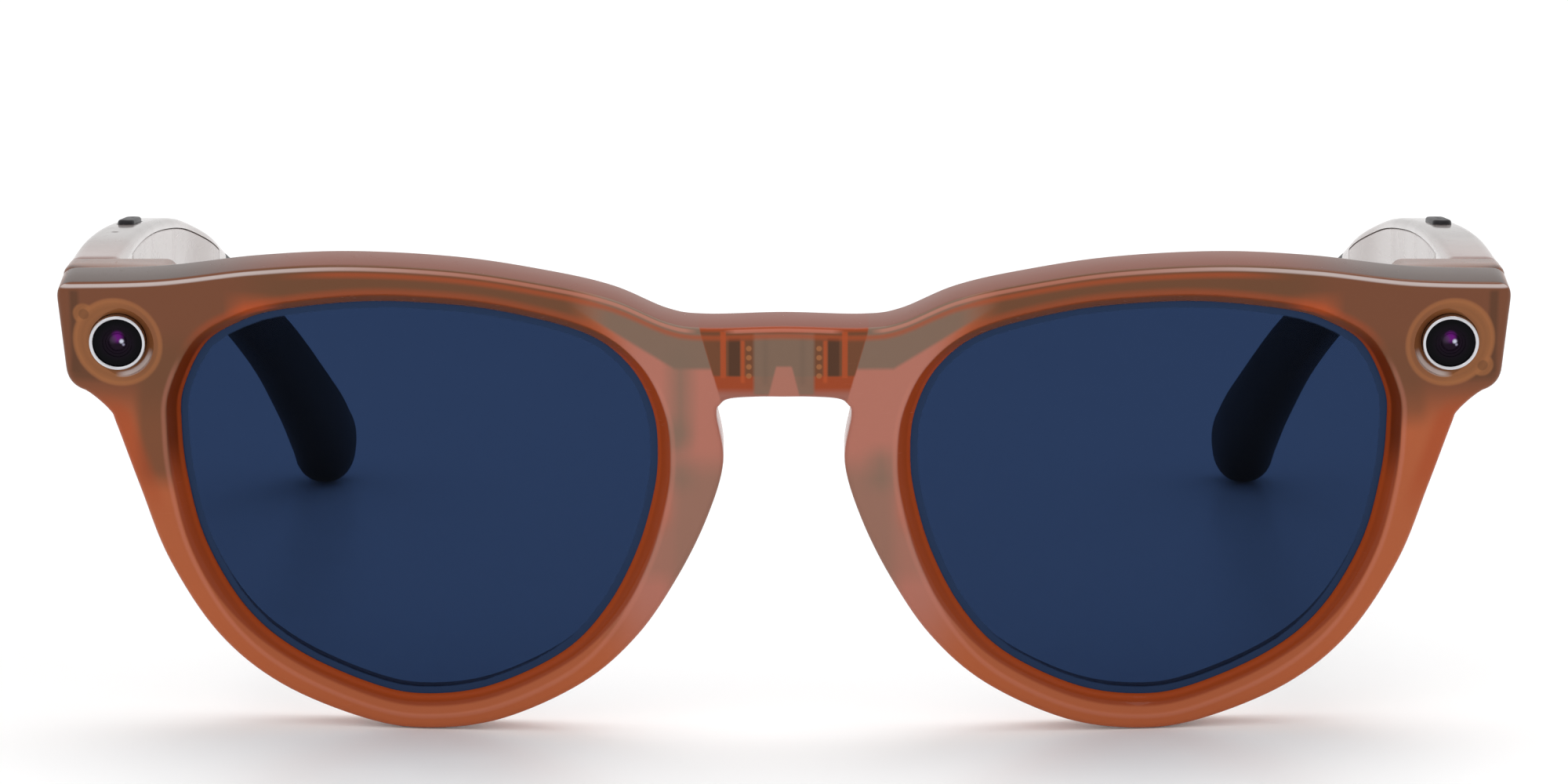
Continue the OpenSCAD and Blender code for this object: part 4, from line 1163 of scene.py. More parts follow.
def grown_row(name, tree, count, pitch, place):
    """A row of ribs across the slider's knob."""
    finish = grip_material()
    return rows(name, tree, finish, place, 1, count, 0, (count - 1) * pitch, 0.13, 1.1, 0.28)


class GLASSES_OT_details(bpy.types.Operator):
    """Make the charging contacts, speaker grilles and hinge screws"""

    bl_idname = "glasses.details"
    bl_label = "Contacts, Grilles and Screws"

    def execute(self, context):
        m = measures()
        colours = context.scene.glasses_finish
        gold = metal_material("gold_contact", colours.gold, 0.22)
        steel = metal_material("steel", colours.steel, 0.32)
        dark = metal_material("grille", colours.black, 0.45)
        pins, screws = pin_tree(), screw_tree()
        x, (z0, z1) = m.contact_x, m.cover_z
        depths = np.array([m.front_t, m.front_t + 1])
        spot, rear = lean(m, np.zeros(2), depths, np.full(2, (z0 + z1) / 2))
        up = (rear - spot) / np.linalg.norm(rear - spot)
        place = (spot, (1, 0, 0), np.cross(up, (1, 0, 0)), up)
        contacts = rows("charging_contacts_pins", pins, gold, place, 2, CONTACTS_ALONG, 2 * x,
                        (CONTACTS_ALONG - 1) * CONTACT_PITCH, 0.34, 1.4, -0.66)
        settle(contacts, "front", "gold_contact", gold, "charging_contacts")
        middle = (m.block_low + m.block_top) / 2
        front_heads = []
        for side, sign in SIDES:
            body = f"temple_{side}"
            speaker_y = m.root_y + SPEAKER_SHARE * m.housing_l + SPEAKER_L / 2
            origin, a, b, out = low_place(m, sign, speaker_y)
            grille = prism(f"speaker_grille_{side}", stadium(1.16, SPEAKER_L - 3.04), origin, a, b, out,
                           [(0, -0.65), (0, -0.4)])
            dots = rows("grille_dots", pins, dark, (origin, a, b, out), 3, 17, 0.7, 5.9, 0.1, 0.1, -0.37)
            combine(grille, [dots], "UNION")
            settle(grille, body, "steel", dark, f"speaker_mesh_{side}")
            leaf = to_row(m, sign * (m.hinge_x + KNUCKLE_R - LEAF_T), m.root_y + LEAF_L - 2, middle)[0]
            place = (leaf, (0, 1, 0), (0, 0, 1), (-sign, 0, 0))
            name = f"temple_screws_{side}_heads"
            heads = rows(name, screws, steel, place, 1, 2, 0, 3.6, 0.62, 0.3, -0.08)
            settle(heads, body, "steel", steel, f"temple_screws_{side}")
            _, x1, low, high = m.pocket
            plate = to_row(m, sign * (x1 - 1.3), m.butt_y, (low + high) / 2)[0]
            place = (plate, (1, 0, 0), (0, 0, 1), (0, 1, 0))
            pair = rows("front_heads", screws, steel, place, 1, 2, 0, high - low - 3.2, 0.6, 0.3, -0.06)
            front_heads.append(pair)
        combine(front_heads[0], front_heads[1:], "UNION")
        front_heads[0].name = "front_hinge_screws_heads"
        settle(front_heads[0], "front", "steel", steel, "front_hinge_screws")
        return {"FINISHED"}


# Materials


def rgba(colour):
    return (*colour, 1.0)


def grain_group():
    """Fine haze, hairline scratches and settled dust, as a height, a mask and an even cloud."""
    found = bpy.data.node_groups.get("surface_grain")
    if found:
        return found
    tree = bpy.data.node_groups.new("surface_grain", "ShaderNodeTree")
    sockets(tree, "INPUT", Scale="Float", Scratches="Float")
    sockets(tree, "OUTPUT", Height="Float", Haze="Float", Cloud="Float")
    g = Graph(tree)
    given = g.node("NodeGroupInput").outputs
    place = g.node("ShaderNodeTexCoord").outputs["Object"]
    fine = g.node("ShaderNodeTexNoise", {"Vector": place, "Scale": given["Scale"], "Detail": 6.0,
                                         "Roughness": 0.6})
    broad = g.node("ShaderNodeTexNoise", {"Vector": place, "Scale": 90.0, "Detail": 3.0})
    stretched = g.node("ShaderNodeMapping", {"Vector": place, "Scale": (900.0, 160.0, 5200.0),
                                             "Rotation": (0.3, 0.5, 0.7)})
    hair = g.node("ShaderNodeTexNoise", {"Vector": stretched.outputs[0], "Scale": 1.0, "Detail": 2.0})
    lines = g.times(g.ramp(hair.outputs[0], 0.66, 0.72), given["Scratches"])
    height = g.minus(fine.outputs[0], lines)
    haze = g.math("ADD", g.times(g.ramp(broad.outputs[0], 0.4, 0.75), 0.5), lines)
    g.node("NodeGroupOutput", {"Height": height, "Haze": haze, "Cloud": g.ramp(broad.outputs[0], 0.3, 0.7)})
    return tree


def zone_group():
    """A soft-edged rectangle, as a mask."""
    found = bpy.data.node_groups.get("soft_zone")
    if found:
        return found
    tree = bpy.data.node_groups.new("soft_zone", "ShaderNodeTree")
    sockets(tree, "INPUT", **dict.fromkeys(("X", "Z", "Left", "Right", "Low", "High", "Soft"), "Float"))
    sockets(tree, "OUTPUT", Mask="Float")
    g = Graph(tree)
    given = g.node("NodeGroupInput").outputs
    sides = []
    for value, low, high in (("X", "Left", "Right"), ("Z", "Low", "High")):
        for a, b in ((given[value], given[low]), (given[high], given[value])):
            inside_by = g.math("DIVIDE", g.minus(a, b), given["Soft"])
            sides.append(g.node("ShaderNodeClamp", {"Value": g.math("ADD", inside_by, 0.5)}).outputs[0])
    g.node("NodeGroupOutput", {"Mask": g.times(*sides)})
    return tree


class Finish(Graph):
    """A material with a Principled BSDF."""

    def __init__(self, name, roughness, coat=0.0, **plain_values):
        self.material = bpy.data.materials.new(name)
        self.material.use_nodes = True
        super().__init__(self.material.node_tree)
        self.tree.nodes.clear()
        values = {"Roughness": roughness, "Coat Weight": coat, "Coat Roughness": 0.03}
        values.update({key.replace("_", " "): value for key, value in plain_values.items()})
        self.shader = self.node("ShaderNodeBsdfPrincipled", values)
        self.output = self.node("ShaderNodeOutputMaterial", {"Surface": self.shader.outputs[0]})

    def grain(self, scale, scratches, roughness, spread, bump):
        """Roughness and bump from the surface grain. Gives the group's outputs."""
        made = self.node("ShaderNodeGroup", node_tree=grain_group())
        made.inputs["Scale"].default_value = scale
        made.inputs["Scratches"].default_value = scratches
        rough = self.math("MULTIPLY_ADD", made.outputs["Haze"], spread, roughness)
        self.feed(self.shader.inputs["Roughness"], rough)
        bumped = self.node("ShaderNodeBump", {"Height": made.outputs["Height"], "Strength": bump,
                                              "Distance": 0.00002})
        self.feed(self.shader.inputs["Normal"], bumped.outputs[0])
        return made.outputs

    def zone(self, x, z, left, right, low, high, soft):
        made = self.node("ShaderNodeGroup", node_tree=zone_group())
        for name, value in dict(X=x, Z=z, Left=left, Right=right, Low=low, High=high, Soft=soft).items():
            self.feed(made.inputs[name], value)
        return made.outputs[0]

    def colour(self, value):
        self.feed(self.shader.inputs["Base Color"], value)

    def object_place(self):
        place = self.node("ShaderNodeTexCoord").outputs["Object"]
        return place, self.node("ShaderNodeSeparateXYZ", {"Vector": place}).outputs


def shade(colour, factor):
    return (*[min(c * factor, 1) for c in colour], 1.0)


def resin_material():
    """Translucent caramel resin: what lies inside shows as soft zones in the plane of the front, with
    painted highlights, glow, light and shade along its edges and faces.
    """
    found = bpy.data.materials.get("resin_finish")
    if found:
        return found
    c = bpy.context.scene.glasses_finish
    m = measures()
    f = Finish("resin_finish", 0.3, coat=0.2, Specular_IOR_Level=0.08)
    grain = f.grain(2600.0, 0.5, 0.2, 0.12, 0.12)
    plan = f.node("ShaderNodeAttribute", attribute_name="plan").outputs["Vector"]
    x, depth, z = f.node("ShaderNodeSeparateXYZ", {"Vector": plan}).outputs
    drop = f.node("ShaderNodeAttribute", attribute_name="brow_drop").outputs["Fac"]
    gap = f.node("ShaderNodeAttribute", attribute_name="lens_gap").outputs["Fac"]
    edge_gap = f.node("ShaderNodeAttribute", attribute_name="edge_gap").outputs["Fac"]
    out = f.math("ABSOLUTE", x)
    fronted = f.ramp(depth, m.front_t, m.front_t - 3)

    # The rim, cloudy and a little darker in places
    colour = f.mix(f.times(grain["Cloud"], 0.35), rgba(c.rim), shade(c.rim, 0.86))
    # Painted light: the rims grow a touch lighter toward their base
    colour = f.mix(f.ramp(z, 24, 5), colour, rgba(c.rim_low_light))
    # Nose side, pale and rosy, from the bridge down to the pads, with a grey cast near the arch
    nose = f.times(f.ramp(out, 20, 13.5), f.ramp(z, 4, 16))
    colour = f.mix(nose, colour, rgba(c.nose))
    cool = f.times(nose, f.ramp(out, 12.5, 10), f.ramp(z, 31, 27))
    colour = f.lay(colour, cool, 0.6, rgba(c.bridge))
    # Painted shade patches on the nose side, in the bridge tone
    for left, right, low, high, side, share in NOSE_SHADOWS:
        patch = f.times(f.zone(f.math("MULTIPLY", x, side), z, left, right, low, high, 2.0), share)
        colour = f.mix(patch, colour, rgba(c.bridge))
    # Painted shadow low on the nose side, in the brow tone
    low_shadow = f.times(f.zone(x, z, -25, -17.5, 11.5, 19.5, 3.0), f.ramp(gap, 5, 3.5))
    colour = f.lay(colour, low_shadow, 0.8, shade(c.brow, 1.1))
    glint = f.times(f.zone(out, z, 12, 14.5, 22, 31, 2.4), f.ramp(gap, 2.8, 1.6))
    colour = f.lay(colour, glint, 0.5, shade(c.glow, 0.8))
    # Brow: dark brown below the edge, greyer beside the bridge
    brow = f.times(f.ramp(drop, 5.6, 4.4), f.ramp(z, 40, 42), f.ramp(out, 17, 22))
    colour = f.mix(brow, colour, rgba(c.brow))
    rise = f.math("MULTIPLY_ADD", f.math("MAXIMUM", f.minus(out, 10.9), 0.0), -0.62, z)
    beside_bridge = f.times(f.ramp(out, 22, 17), f.ramp(rise, 38.7, 39.3))
    colour = f.lay(colour, beside_bridge, 0.95, shade(c.bridge, 0.95))
    # End piece: brown right across, with a red glow beside the lens
    end = f.times(f.ramp(out, 50, 56), f.ramp(z, 30, 36))
    colour = f.mix(end, colour, rgba(c.end_piece))
    dim = f.times(f.ramp(x, -55, -58), f.ramp(gap, 5.2, 3.6), f.ramp(z, 23.5, 26.5), f.ramp(z, 42, 38))
    colour = f.lay(colour, dim, 0.85, rgba(c.brow))
    dim = f.times(f.ramp(x, 55, 58), f.ramp(gap, 4.6, 3), f.ramp(z, 30, 33), f.ramp(z, 42, 38))
    colour = f.lay(colour, dim, 0.5, rgba(c.brow))
    glow = f.times(f.ramp(edge_gap, 2.6, 1.2), f.ramp(z, 20, 27), f.ramp(z, 34.5, 31.5),
                   f.ramp(out, 56, 60))
    colour = f.lay(colour, glow, 0.6, shade(c.glow, 0.62))
    colour = camera_zones(f, m, c, colour, x, z, out)
    colour = bridge_zones(f, m, c, colour, z, out)
    # A red line under the edge, and a pale painted highlight on it
    line = f.times(f.ramp(drop, 0.5, 0.9), f.ramp(drop, 1.5, 0.9), f.ramp(out, 52, 44), fronted)
    colour = f.lay(colour, line, 0.6, shade(c.glow, 0.7))
    shine = f.times(f.ramp(drop, 0.12, 0.24), f.ramp(drop, 0.62, 0.4), f.ramp(depth, 0.5, 0.3))
    broken = f.minus(1.0, f.zone(out, z, 5.4, 9.2, 40, 46, 1.2))
    strength = f.math("MULTIPLY_ADD", f.ramp(out, 30, 60), 0.3, 0.5)
    paler = f.mix(f.ramp(out, 25, 55), shade(c.nose, 1.5), shade(c.smoke, 1.5))
    colour = f.mix(f.times(shine, strength, broken), colour, paler)
    # The bevel: brown under the brow, glowing round the sides and below, dark beside the end piece
    high = f.ramp(z, 38, 43)
    wider = f.math("MULTIPLY_ADD", f.ramp(z, 16, 6), 0.5, gap)
    bevel = m.bevel_w
    fall = f.times(f.ramp(wider, bevel, bevel - 0.25), fronted)
    deep = f.mix(f.times(f.ramp(out, 54, 59), f.ramp(z, 24, 30)), shade(c.glow, 0.5), shade(c.glow, 0.22))
    colour = f.mix(fall, colour, f.mix(high, deep, shade(c.end_piece, 0.9)))
    # Painted highlight: an orange line along the bevel's outer edge under the brow
    red = f.times(f.ramp(gap, bevel + 0.9, bevel + 0.1), f.ramp(gap, bevel - 0.5, bevel), high, fronted)
    colour = f.mix(f.times(red, f.ramp(out, 14, 20), 0.55), colour, shade(c.glow, 0.62))
    corner = f.times(f.zone(out, z, 51, 55, 42.6, 44.6, 2.2), f.ramp(gap, 0.3, 0.7))
    colour = f.lay(colour, corner, 0.6, shade(c.glow, 0.95))
    # Painted highlight: a pale line along the bevel's outer edge on the lower rims
    pale = f.times(f.ramp(gap, bevel - 0.2, bevel + 0.1), f.ramp(gap, bevel + 0.55, bevel + 0.2),
                   f.ramp(z, 39, 36), fronted)
    colour = f.lay(colour, pale, 0.3, shade(c.nose, 1.25))
    lit = f.times(f.ramp(gap, 0.5, 0.25), f.ramp(z, 42, 38), fronted)
    colour = f.lay(colour, lit, 0.6, shade(c.glow, 0.7))
    # Upward faces with painted shade, dimmer and greyer than the light on them
    top = f.times(f.ramp(drop, 0.35, 0.1), f.ramp(drop, -6, -5), f.ramp(depth, 0.3, 0.6))
    rosy = f.mix(f.ramp(out, 46, 62), shade(c.nose, 0.5), shade(c.smoke_deep, 0.6))
    colour = f.mix(f.times(top, 0.93), colour, rosy)
    f.feed(f.shader.inputs["Coat Weight"], f.math("MULTIPLY_ADD", top, -0.17, 0.2))
    # Painted light: the groove's rear wall beside the lens takes the pale smoke tone, for light that comes
    # through the resin
    lens_back = m.groove_y + m.lens_t
    behind = f.times(f.ramp(depth, lens_back - 0.3, lens_back), f.ramp(gap, 0.45, 0.2))
    colour = f.lay(colour, behind, 0.6, rgba(c.smoke))
    f.colour(colour)
    return f.material


# Shaded patches on the nose side: outward from the middle, up from the base, which side and how strong
NOSE_SHADOWS = (
    (9.4, 11.2, 31, 41, -1, 0.8), (9.8, 12.5, 30, 33.5, -1, 0.7), (9.2, 12.4, 26.5, 29.5, -1, 0.5),
    (8.6, 10.8, 26.5, 30.5, 1, 0.6), (11, 15, 17, 23, 1, 0.3), (11, 15, 17, 23, -1, 0.4),
)


def camera_zones(f, m, c, colour, x, z, out):
    """Amber bracket with its screw ear, the dark gaps round it, and a painted highlight on the dish round
    the bezel.
    """
    dx, dz = f.minus(out, m.camera_x), f.minus(z, m.camera_z)
    far = f.reach(dx, dz)
    strip = f.zone(out, z, m.end_x - 2.4, m.end_x - 1.5, m.end_low + 1.5, m.end_top - 0.6, 0.4)
    colour = f.lay(colour, strip, 0.75, shade(c.brow, 0.62))
    corner = f.zone(out, z, m.end_x - 4.4, m.end_x - 1.6, m.end_low + 0.8, m.end_low + 2.6, 0.7)
    colour = f.lay(colour, corner, 0.7, shade(c.brow, 0.75))
    # The ear is up and out on the right camera, low and out on the left one
    side = f.math("SIGN", x)
    ear_z = f.math("MULTIPLY", side, -2.7)
    ex, ez = f.minus(dx, 3.4), f.minus(dz, ear_z)
    ear_far = f.reach(ex, ez)
    disc = f.math("MAXIMUM", f.ramp(far, 4.7, 4.2), f.ramp(ear_far, 1.25, 0.95))
    waves = f.math("SINE", f.math("MULTIPLY", far, 9.0))
    rings = f.times(f.math("MULTIPLY_ADD", waves, 0.5, 0.5), 0.35)
    amber = f.mix(rings, rgba(c.amber), shade(c.amber, 0.78))
    outer = f.math("MULTIPLY_ADD", f.ramp(dx, -3.5, 1), 0.45, 0.45)
    colour = f.mix(f.times(disc, outer), colour, amber)
    ridge = f.times(f.ramp(far, 4.0, 4.3), f.ramp(far, 4.75, 4.45))
    colour = f.lay(colour, ridge, 0.35, shade(c.amber, 1.5))
    # Painted highlight: a pale arc on the low inner side of the dish round the bezel
    low_in = f.math("DIVIDE", f.math("MULTIPLY_ADD", dx, -0.6, f.math("MULTIPLY", dz, -0.8)), far)
    crescent_highlight = f.times(f.ramp(far, 3.1, 3.3), f.ramp(far, 3.75, 3.5), f.ramp(low_in, 0.72, 0.95))
    colour = f.lay(colour, crescent_highlight, 0.75, shade(c.smoke, 1.6))
    screw = f.ramp(ear_far, 0.62, 0.45)
    return f.lay(colour, screw, 0.6, shade(c.amber, 0.5))


def bridge_zones(f, m, c, colour, z, out):
    """Board, blocks, contacts and ribs behind the bridge."""
    low, high = m.cover_z
    wide = f.math("MULTIPLY_ADD", f.minus(z, low), 0.28, 6.8)
    arch_z = m.bridge_low
    bay = f.times(f.ramp(f.minus(wide, out), -0.1, 0.15), f.ramp(z, arch_z - 2.5, arch_z - 0.5))
    lit = f.mix(f.ramp(z, arch_z + 0.2, arch_z + 1.2), shade(c.nose, 0.75), shade(c.glow, 0.55))
    colour = f.mix(bay, colour, lit)
    olive = f.times(bay, f.ramp(z, low + 0.75, low + 1.05), f.ramp(z, high + 1.0, high + 0.6))
    colour = f.lay(colour, olive, 0.92, shade(c.brow, 0.95))
    rib = f.zone(out, z, m.cover_x - 0.05, m.cover_x + 0.5, low + 0.7, high + 0.8, 0.16)
    colour = f.lay(colour, rib, 0.85, shade(c.glow, 0.7))
    block = f.zone(out, z, 4.35, 5.5, low + 0.9, high + 0.2, 0.22)
    colour = f.lay(colour, block, 0.85, shade(c.brow, 0.45))
    inner = f.zone(out, z, 3.9, 4.3, low + 0.2, high - 0.1, 0.25)
    colour = f.lay(colour, inner, 0.7, shade(c.glow, 0.8))
    plate = f.zone(out, z, -1.0, 3.0, arch_z + 0.35, high + 0.6, 0.35)
    colour = f.lay(colour, plate, 0.85, rgba(c.bridge))
    stripes = f.zone(out, z, 1.6, 2.1, low, high + 0.4, 0.5)
    colour = f.lay(colour, stripes, 0.35, shade(c.bridge, 0.7))
    leaning = f.math("ADD", out, f.times(f.minus(z, arch_z), 0.25))
    arch = f.times(f.ramp(leaning, 1.75, 1.45), f.ramp(z, low + 2.1, low + 1.7))
    colour = f.lay(colour, arch, 0.75, shade(c.nose, 1.05))
    # Two columns of contact heads
    middle, half = (low + high) / 2, CONTACTS_ALONG * CONTACT_PITCH / 2
    step = f.math("DIVIDE", f.minus(z, middle - half), CONTACT_PITCH)
    row = f.times(f.minus(f.math("FRACT", step), 0.5), CONTACT_PITCH)
    across = f.minus(out, m.contact_x)
    spot = f.reach(row, across)
    dots = f.times(f.ramp(spot, 0.34, 0.22), f.zone(out, z, 3.0, 4.0, middle - half, middle + half, 0.1))
    return f.lay(colour, dots, 0.75, shade(c.amber, 1.25))


def lens_material():
    """Tinted lens with an anti-reflective coat."""
    c = bpy.context.scene.glasses_finish
    f = Finish("lens_finish", 0.03)
    tree = f.tree
    place, _ = f.object_place()
    cloud = f.node("ShaderNodeTexNoise", {"Vector": place, "Scale": 40.0, "Detail": 2.0})
    tint = f.mix(f.times(cloud.outputs[0], 0.12), rgba(c.lens), shade(c.lens, 0.86))
    through = f.node("ShaderNodeBsdfTransparent", {"Color": tint})
    shine = f.node("ShaderNodeBsdfGlossy", {"Color": (0.9, 0.93, 1.0, 1.0), "Roughness": 0.02})
    share = f.node("ShaderNodeFresnel", {"IOR": 1.1})
    inward = f.node("ShaderNodeAttribute", attribute_name="from_edge").outputs["Fac"]
    edge = f.node("ShaderNodeBsdfDiffuse", {"Color": rgba(c.lens_edge)})
    share_in = f.ramp(inward, 1.8, 1.55)
    body = f.node("ShaderNodeMixShader", {0: share_in, 1: through.outputs[0], 2: edge.outputs[0]})
    both = f.node("ShaderNodeMixShader", {0: share.outputs[0], 1: body.outputs[0], 2: shine.outputs[0]})
    tree.nodes.remove(f.shader)
    tree.links.new(both.outputs[0], f.output.inputs["Surface"])
    return f.material


def camera_material(m):
    """Black glass with the violet and white glints of the coated lens inside."""
    f = Finish("eye_finish", 0.06, Specular_IOR_Level=0.03)
    _, (x, _, z) = f.object_place()
    spot = lean(m, np.array([m.camera_x]), np.array([m.camera_y]), np.array([m.camera_z]))[0]
    side = f.math("SIGN", x)
    dx = f.minus(x, f.times(side, float(spot[0])))
    dz = f.minus(z, float(spot[2]))

    def reflection_spot(ox, oz, radius):
        a, b = f.minus(dx, ox * MM), f.minus(dz, oz * MM)
        far = f.reach(a, b)
        return f.ramp(far, radius * MM, radius * 0.25 * MM)

    # Painted reflections of the coated lens inside: a violet cast in the middle, a violet spot, a dim one
    # and two white glints
    colour = f.mix(reflection_spot(0, 0, 2.2), (0.004, 0.004, 0.005, 1), (0.012, 0.006, 0.014, 1))
    colour = f.mix(f.times(reflection_spot(0.0, 0.55, 0.8), 0.9), colour, (0.15, 0.01, 0.2, 1))
    colour = f.mix(f.times(reflection_spot(-0.45, 0.3, 0.6), 0.6), colour, (0.06, 0.04, 0.07, 1))
    colour = f.mix(reflection_spot(0.42, 0.1, 0.32), colour, (0.6, 0.62, 0.75, 1))
    colour = f.mix(reflection_spot(0.6, -0.25, 0.2), colour, (0.3, 0.28, 0.4, 1))
    f.grain(3000.0, 0.2, 0.05, 0.05, 0.02)
    f.colour(colour)
    return f.material


def smoke_material():
    """Smoky translucent resin, rosier near the front, with painted shade on the shell and painted light on
    the inner faces.
    """
    c = bpy.context.scene.glasses_finish
    m = measures()
    f = Finish("smoke_finish", 0.28, coat=0.45, Specular_IOR_Level=0.35)
    grain = f.grain(2600.0, 0.5, 0.22, 0.12, 0.12)
    _, (x, y, _) = f.object_place()
    start = (m.root_y - m.middle_y) * MM
    along = f.minus(y, start)
    colour = f.mix(f.times(grain["Cloud"], 0.4), rgba(c.smoke_deep), shade(c.smoke_deep, 0.9))
    rosy = f.ramp(along, 0.02, 0.0)
    colour = f.lay(colour, rosy, 0.35, shade(c.nose, 0.8))
    # Painted light: the inner faces take the paler lit tone, where light comes through the resin
    inward = f.minus((at(m, "inner", m.root_y) + 1.2) * MM, f.math("ABSOLUTE", x))
    colour = f.mix(f.ramp(inward, 0.0, 0.0008), colour, rgba(c.smoke))
    f.colour(colour)
    return f.material


def cover_material():
    """Inner covers of the temples, in the palest, lit tone of the smoky resin: painted light where light
    comes through.
    """
    c = bpy.context.scene.glasses_finish
    f = Finish("cover_finish", 0.3, coat=0.2, Specular_IOR_Level=0.3)
    grain = f.grain(2600.0, 0.3, 0.25, 0.12, 0.15)
    f.colour(f.mix(f.times(grain["Cloud"], 0.3), rgba(c.smoke), shade(c.smoke, 0.9)))
    return f.material


def grip_material():
    """Soft black grip with a fine grain."""
    found = bpy.data.materials.get("grip_finish")
    if found:
        return found
    c = bpy.context.scene.glasses_finish
    f = Finish("grip_finish", 0.5, Specular_IOR_Level=0.3)
    grain = f.grain(4200.0, 0.2, 0.42, 0.16, 0.35)
    f.colour(f.mix(f.times(grain["Cloud"], 0.5), rgba(c.black), shade(c.black, 1.5)))
    return f.material


def metal_material(name, colour, roughness):
    """Metal with faint brushing."""
    f = Finish(name + "_finish", roughness, Metallic=1.0)
    grain = f.grain(1800.0, 0.8, roughness, 0.12, 0.15)
    f.colour(f.mix(f.times(grain["Haze"], 0.4), rgba(colour), shade(colour, 0.82)))
    return f.material


def board_material(name, colour, second, roughness):
    """Circuit boards, films and moulded parts: two tones in fine lanes."""
    f = Finish(name + "_finish", roughness)
    f.grain(2400.0, 0.2, roughness, 0.15, 0.2)
    place, _ = f.object_place()
    cells = f.node("ShaderNodeTexVoronoi", {"Vector": place, "Scale": 900.0})
    f.colour(f.mix(f.ramp(cells.outputs["Distance"], 0.25, 0.4), rgba(colour), rgba(second)))
    return f.material


# Finish, colours and roughness of the CAD nodes that stay as they are, by the start of their names
INNER_TONES = {
    "camera_bracket": ((0.26, 0.1, 0.04), (0.22, 0.08, 0.03), 0.35),
    "camera_barrel": ((0.02, 0.02, 0.023), (0.03, 0.03, 0.034), 0.4),
    "camera_sensor": ((0.03, 0.05, 0.03), (0.05, 0.08, 0.05), 0.4),
    "capture_led": ((0.8, 0.8, 0.76), (0.7, 0.7, 0.66), 0.3),
    "front_flex": ((0.1, 0.04, 0.015), (0.13, 0.06, 0.02), 0.4),
    "bridge_board": ((0.06, 0.05, 0.035), (0.08, 0.07, 0.05), 0.45),
    "bridge_blocks": ((0.03, 0.025, 0.02), (0.04, 0.035, 0.03), 0.5),
    "speaker": ((0.02, 0.02, 0.023), (0.03, 0.03, 0.034), 0.5),
    "main_board": ((0.02, 0.06, 0.03), (0.03, 0.09, 0.05), 0.4),
    "protection_board": ((0.02, 0.06, 0.03), (0.03, 0.09, 0.05), 0.4),
    "touch_sensor": ((0.1, 0.07, 0.02), (0.14, 0.1, 0.03), 0.4),
    "battery": ((0.3, 0.31, 0.33), (0.36, 0.37, 0.4), 0.35),
    "button_switch": ((0.02, 0.02, 0.023), (0.03, 0.03, 0.034), 0.5),
    "power_switch": ((0.02, 0.02, 0.023), (0.03, 0.03, 0.034), 0.5),
}


class GLASSES_OT_hardware(bpy.types.Operator):
    """Give the hinges, pins, screws and electronics their finishes"""

    bl_idname = "glasses.hardware"
    bl_label = "Hinges and Electronics"

    def execute(self, context):
        steel = metal_material("hinge_steel", context.scene.glasses_finish.steel, 0.34)
        made = {start: board_material(start, *tones) for start, tones in INNER_TONES.items()}
        for name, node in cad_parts.items():
            if node.hide_render:
                continue
            finish = next((made[start] for start in INNER_TONES if name.startswith(start)), steel)
            node.data.materials.clear()
            node.data.materials.append(finish)
        return {"FINISHED"}


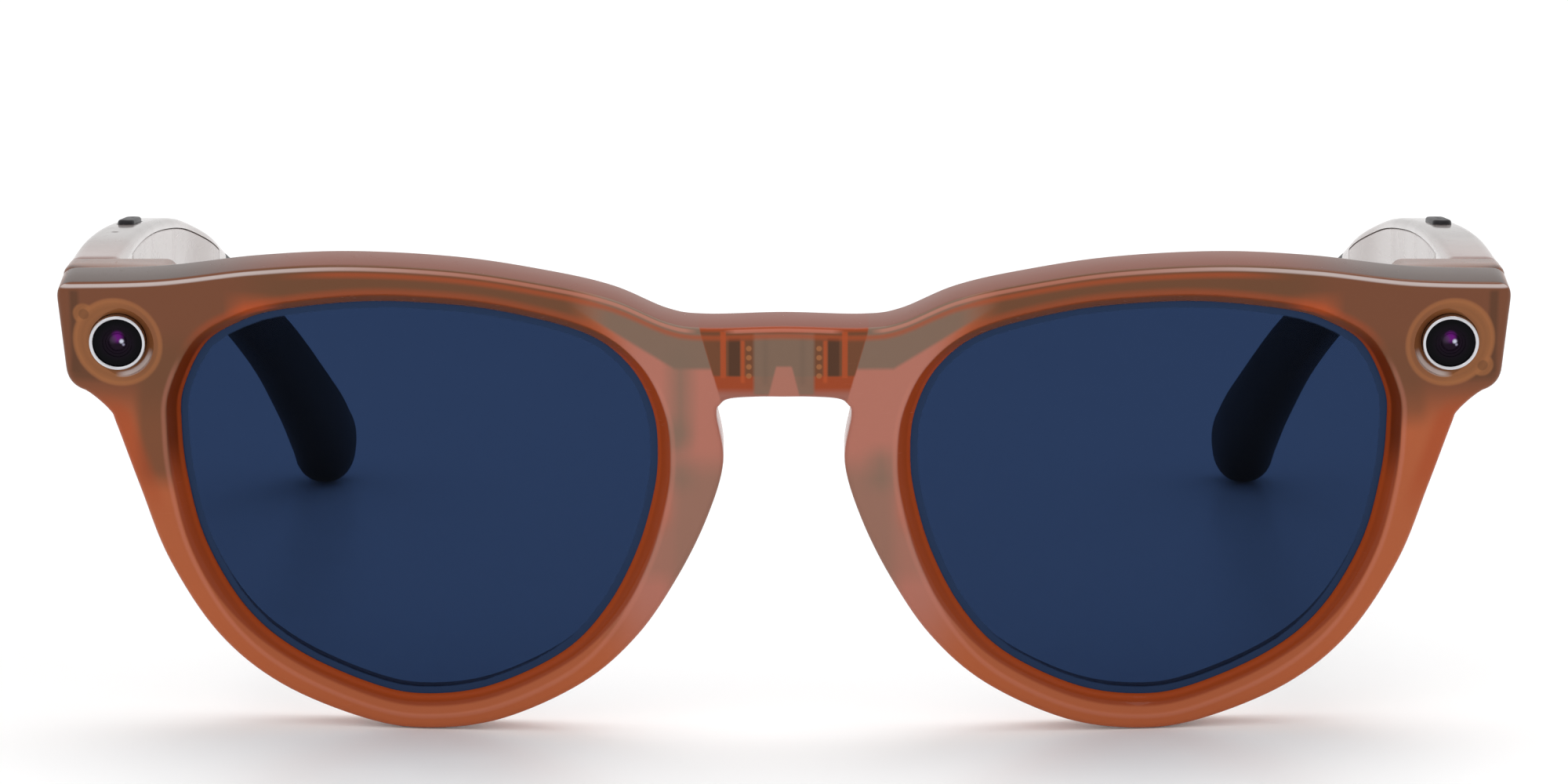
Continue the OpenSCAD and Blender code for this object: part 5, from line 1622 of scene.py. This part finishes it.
class GLASSES_OT_stage(bpy.types.Operator):
    """Make the floor, the lights and the camera"""

    bl_idname = "glasses.stage"
    bl_label = "Stage"

    def execute(self, context):
        scene, s = context.scene, context.scene.glasses_stage
        scene.view_settings.view_transform = "Standard"
        world = bpy.data.worlds.new("studio")
        scene.world = world
        world.use_nodes = True
        world.node_tree.nodes["Background"].inputs["Color"].default_value = (1.0, 1.0, 1.0, 1.0)
        world.node_tree.nodes["Background"].inputs["Strength"].default_value = s.sky
        half = 3.0
        mesh = bpy.data.meshes.new("floor")
        corners = [(-half, -half, 0), (half, -half, 0), (half, half, 0), (-half, half, 0)]
        mesh.from_pydata(corners, [], [(0, 1, 2, 3)])
        floor = bpy.data.objects.new("floor", mesh)
        scene.collection.objects.link(floor)
        f = Finish("pale_floor", 0.35, Specular_IOR_Level=0.25)
        f.grain(300.0, 0.0, 0.3, 0.1, 0.02)
        f.colour((0.97, 0.97, 0.97, 1.0))
        mesh.materials.append(f.material)
        middle = Vector((0, -0.035, 0.03))
        self.softbox("key_light", (0.15, 0.25, 1.1), middle, 0.9, s.key)
        self.softbox("fill_light", (-0.5, -1.0, 0.7), middle, 0.8, s.fill)
        camera = bpy.data.objects.new("camera", bpy.data.cameras.new("camera"))
        scene.collection.objects.link(camera)
        camera.data.lens = s.focal
        camera.data.clip_start, camera.data.clip_end = 0.01, 20
        target = Vector((0, -measures().middle_y * MM, s.target_z))
        back = Vector((0, -math.cos(s.elevation), math.sin(s.elevation)))
        camera.location = target + back * s.distance
        camera.rotation_mode = "QUATERNION"
        camera.rotation_quaternion = (-back).to_track_quat("-Z", "Y")
        scene.camera = camera
        return {"FINISHED"}

    def softbox(self, name, place, target, width, power):
        light = bpy.data.lights.new(name, "AREA")
        light.size, light.energy = width, power
        made = bpy.data.objects.new(name, light)
        bpy.context.scene.collection.objects.link(made)
        made.location = place
        made.rotation_mode = "QUATERNION"
        made.rotation_quaternion = (target - Vector(place)).to_track_quat("-Z", "Y")


class GLASSES_PT_panel(bpy.types.Panel):
    """Sizes, colours and the steps that make the glasses"""

    bl_idname = "GLASSES_PT_panel"
    bl_label = "Camera Glasses"
    bl_space_type = "VIEW_3D"
    bl_region_type = "UI"
    bl_category = "Glasses"

    def draw(self, context):
        for step in STEPS:
            self.layout.operator(step.bl_idname)
        for group in (name for name, _ in GROUPS):
            column = self.layout.column(align=True)
            settings = getattr(context.scene, group)
            for name in settings.__annotations__:
                column.prop(settings, name)


GROUPS = (
    ("glasses_front", GlassesFront),
    ("glasses_temples", GlassesTemples),
    ("glasses_finish", GlassesFinish),
    ("glasses_stage", GlassesStage),
)
STEPS = (
    GLASSES_OT_stage, GLASSES_OT_front, GLASSES_OT_lenses, GLASSES_OT_cameras, GLASSES_OT_temples,
    GLASSES_OT_tips, GLASSES_OT_controls, GLASSES_OT_details, GLASSES_OT_hardware,
)
CLASSES = (*[kind for _, kind in GROUPS], *STEPS, GLASSES_PT_panel)


def register():
    for kind in CLASSES:
        bpy.utils.register_class(kind)
    for name, kind in GROUPS:
        setattr(bpy.types.Scene, name, PointerProperty(type=kind))


def unregister():
    for name, _ in GROUPS:
        delattr(bpy.types.Scene, name)
    for kind in reversed(CLASSES):
        bpy.utils.unregister_class(kind)


def main():
    register()
    for step in STEPS:
        group, name = step.bl_idname.split(".")
        getattr(getattr(bpy.ops, group), name)()


if __name__ == "__main__":
    main()
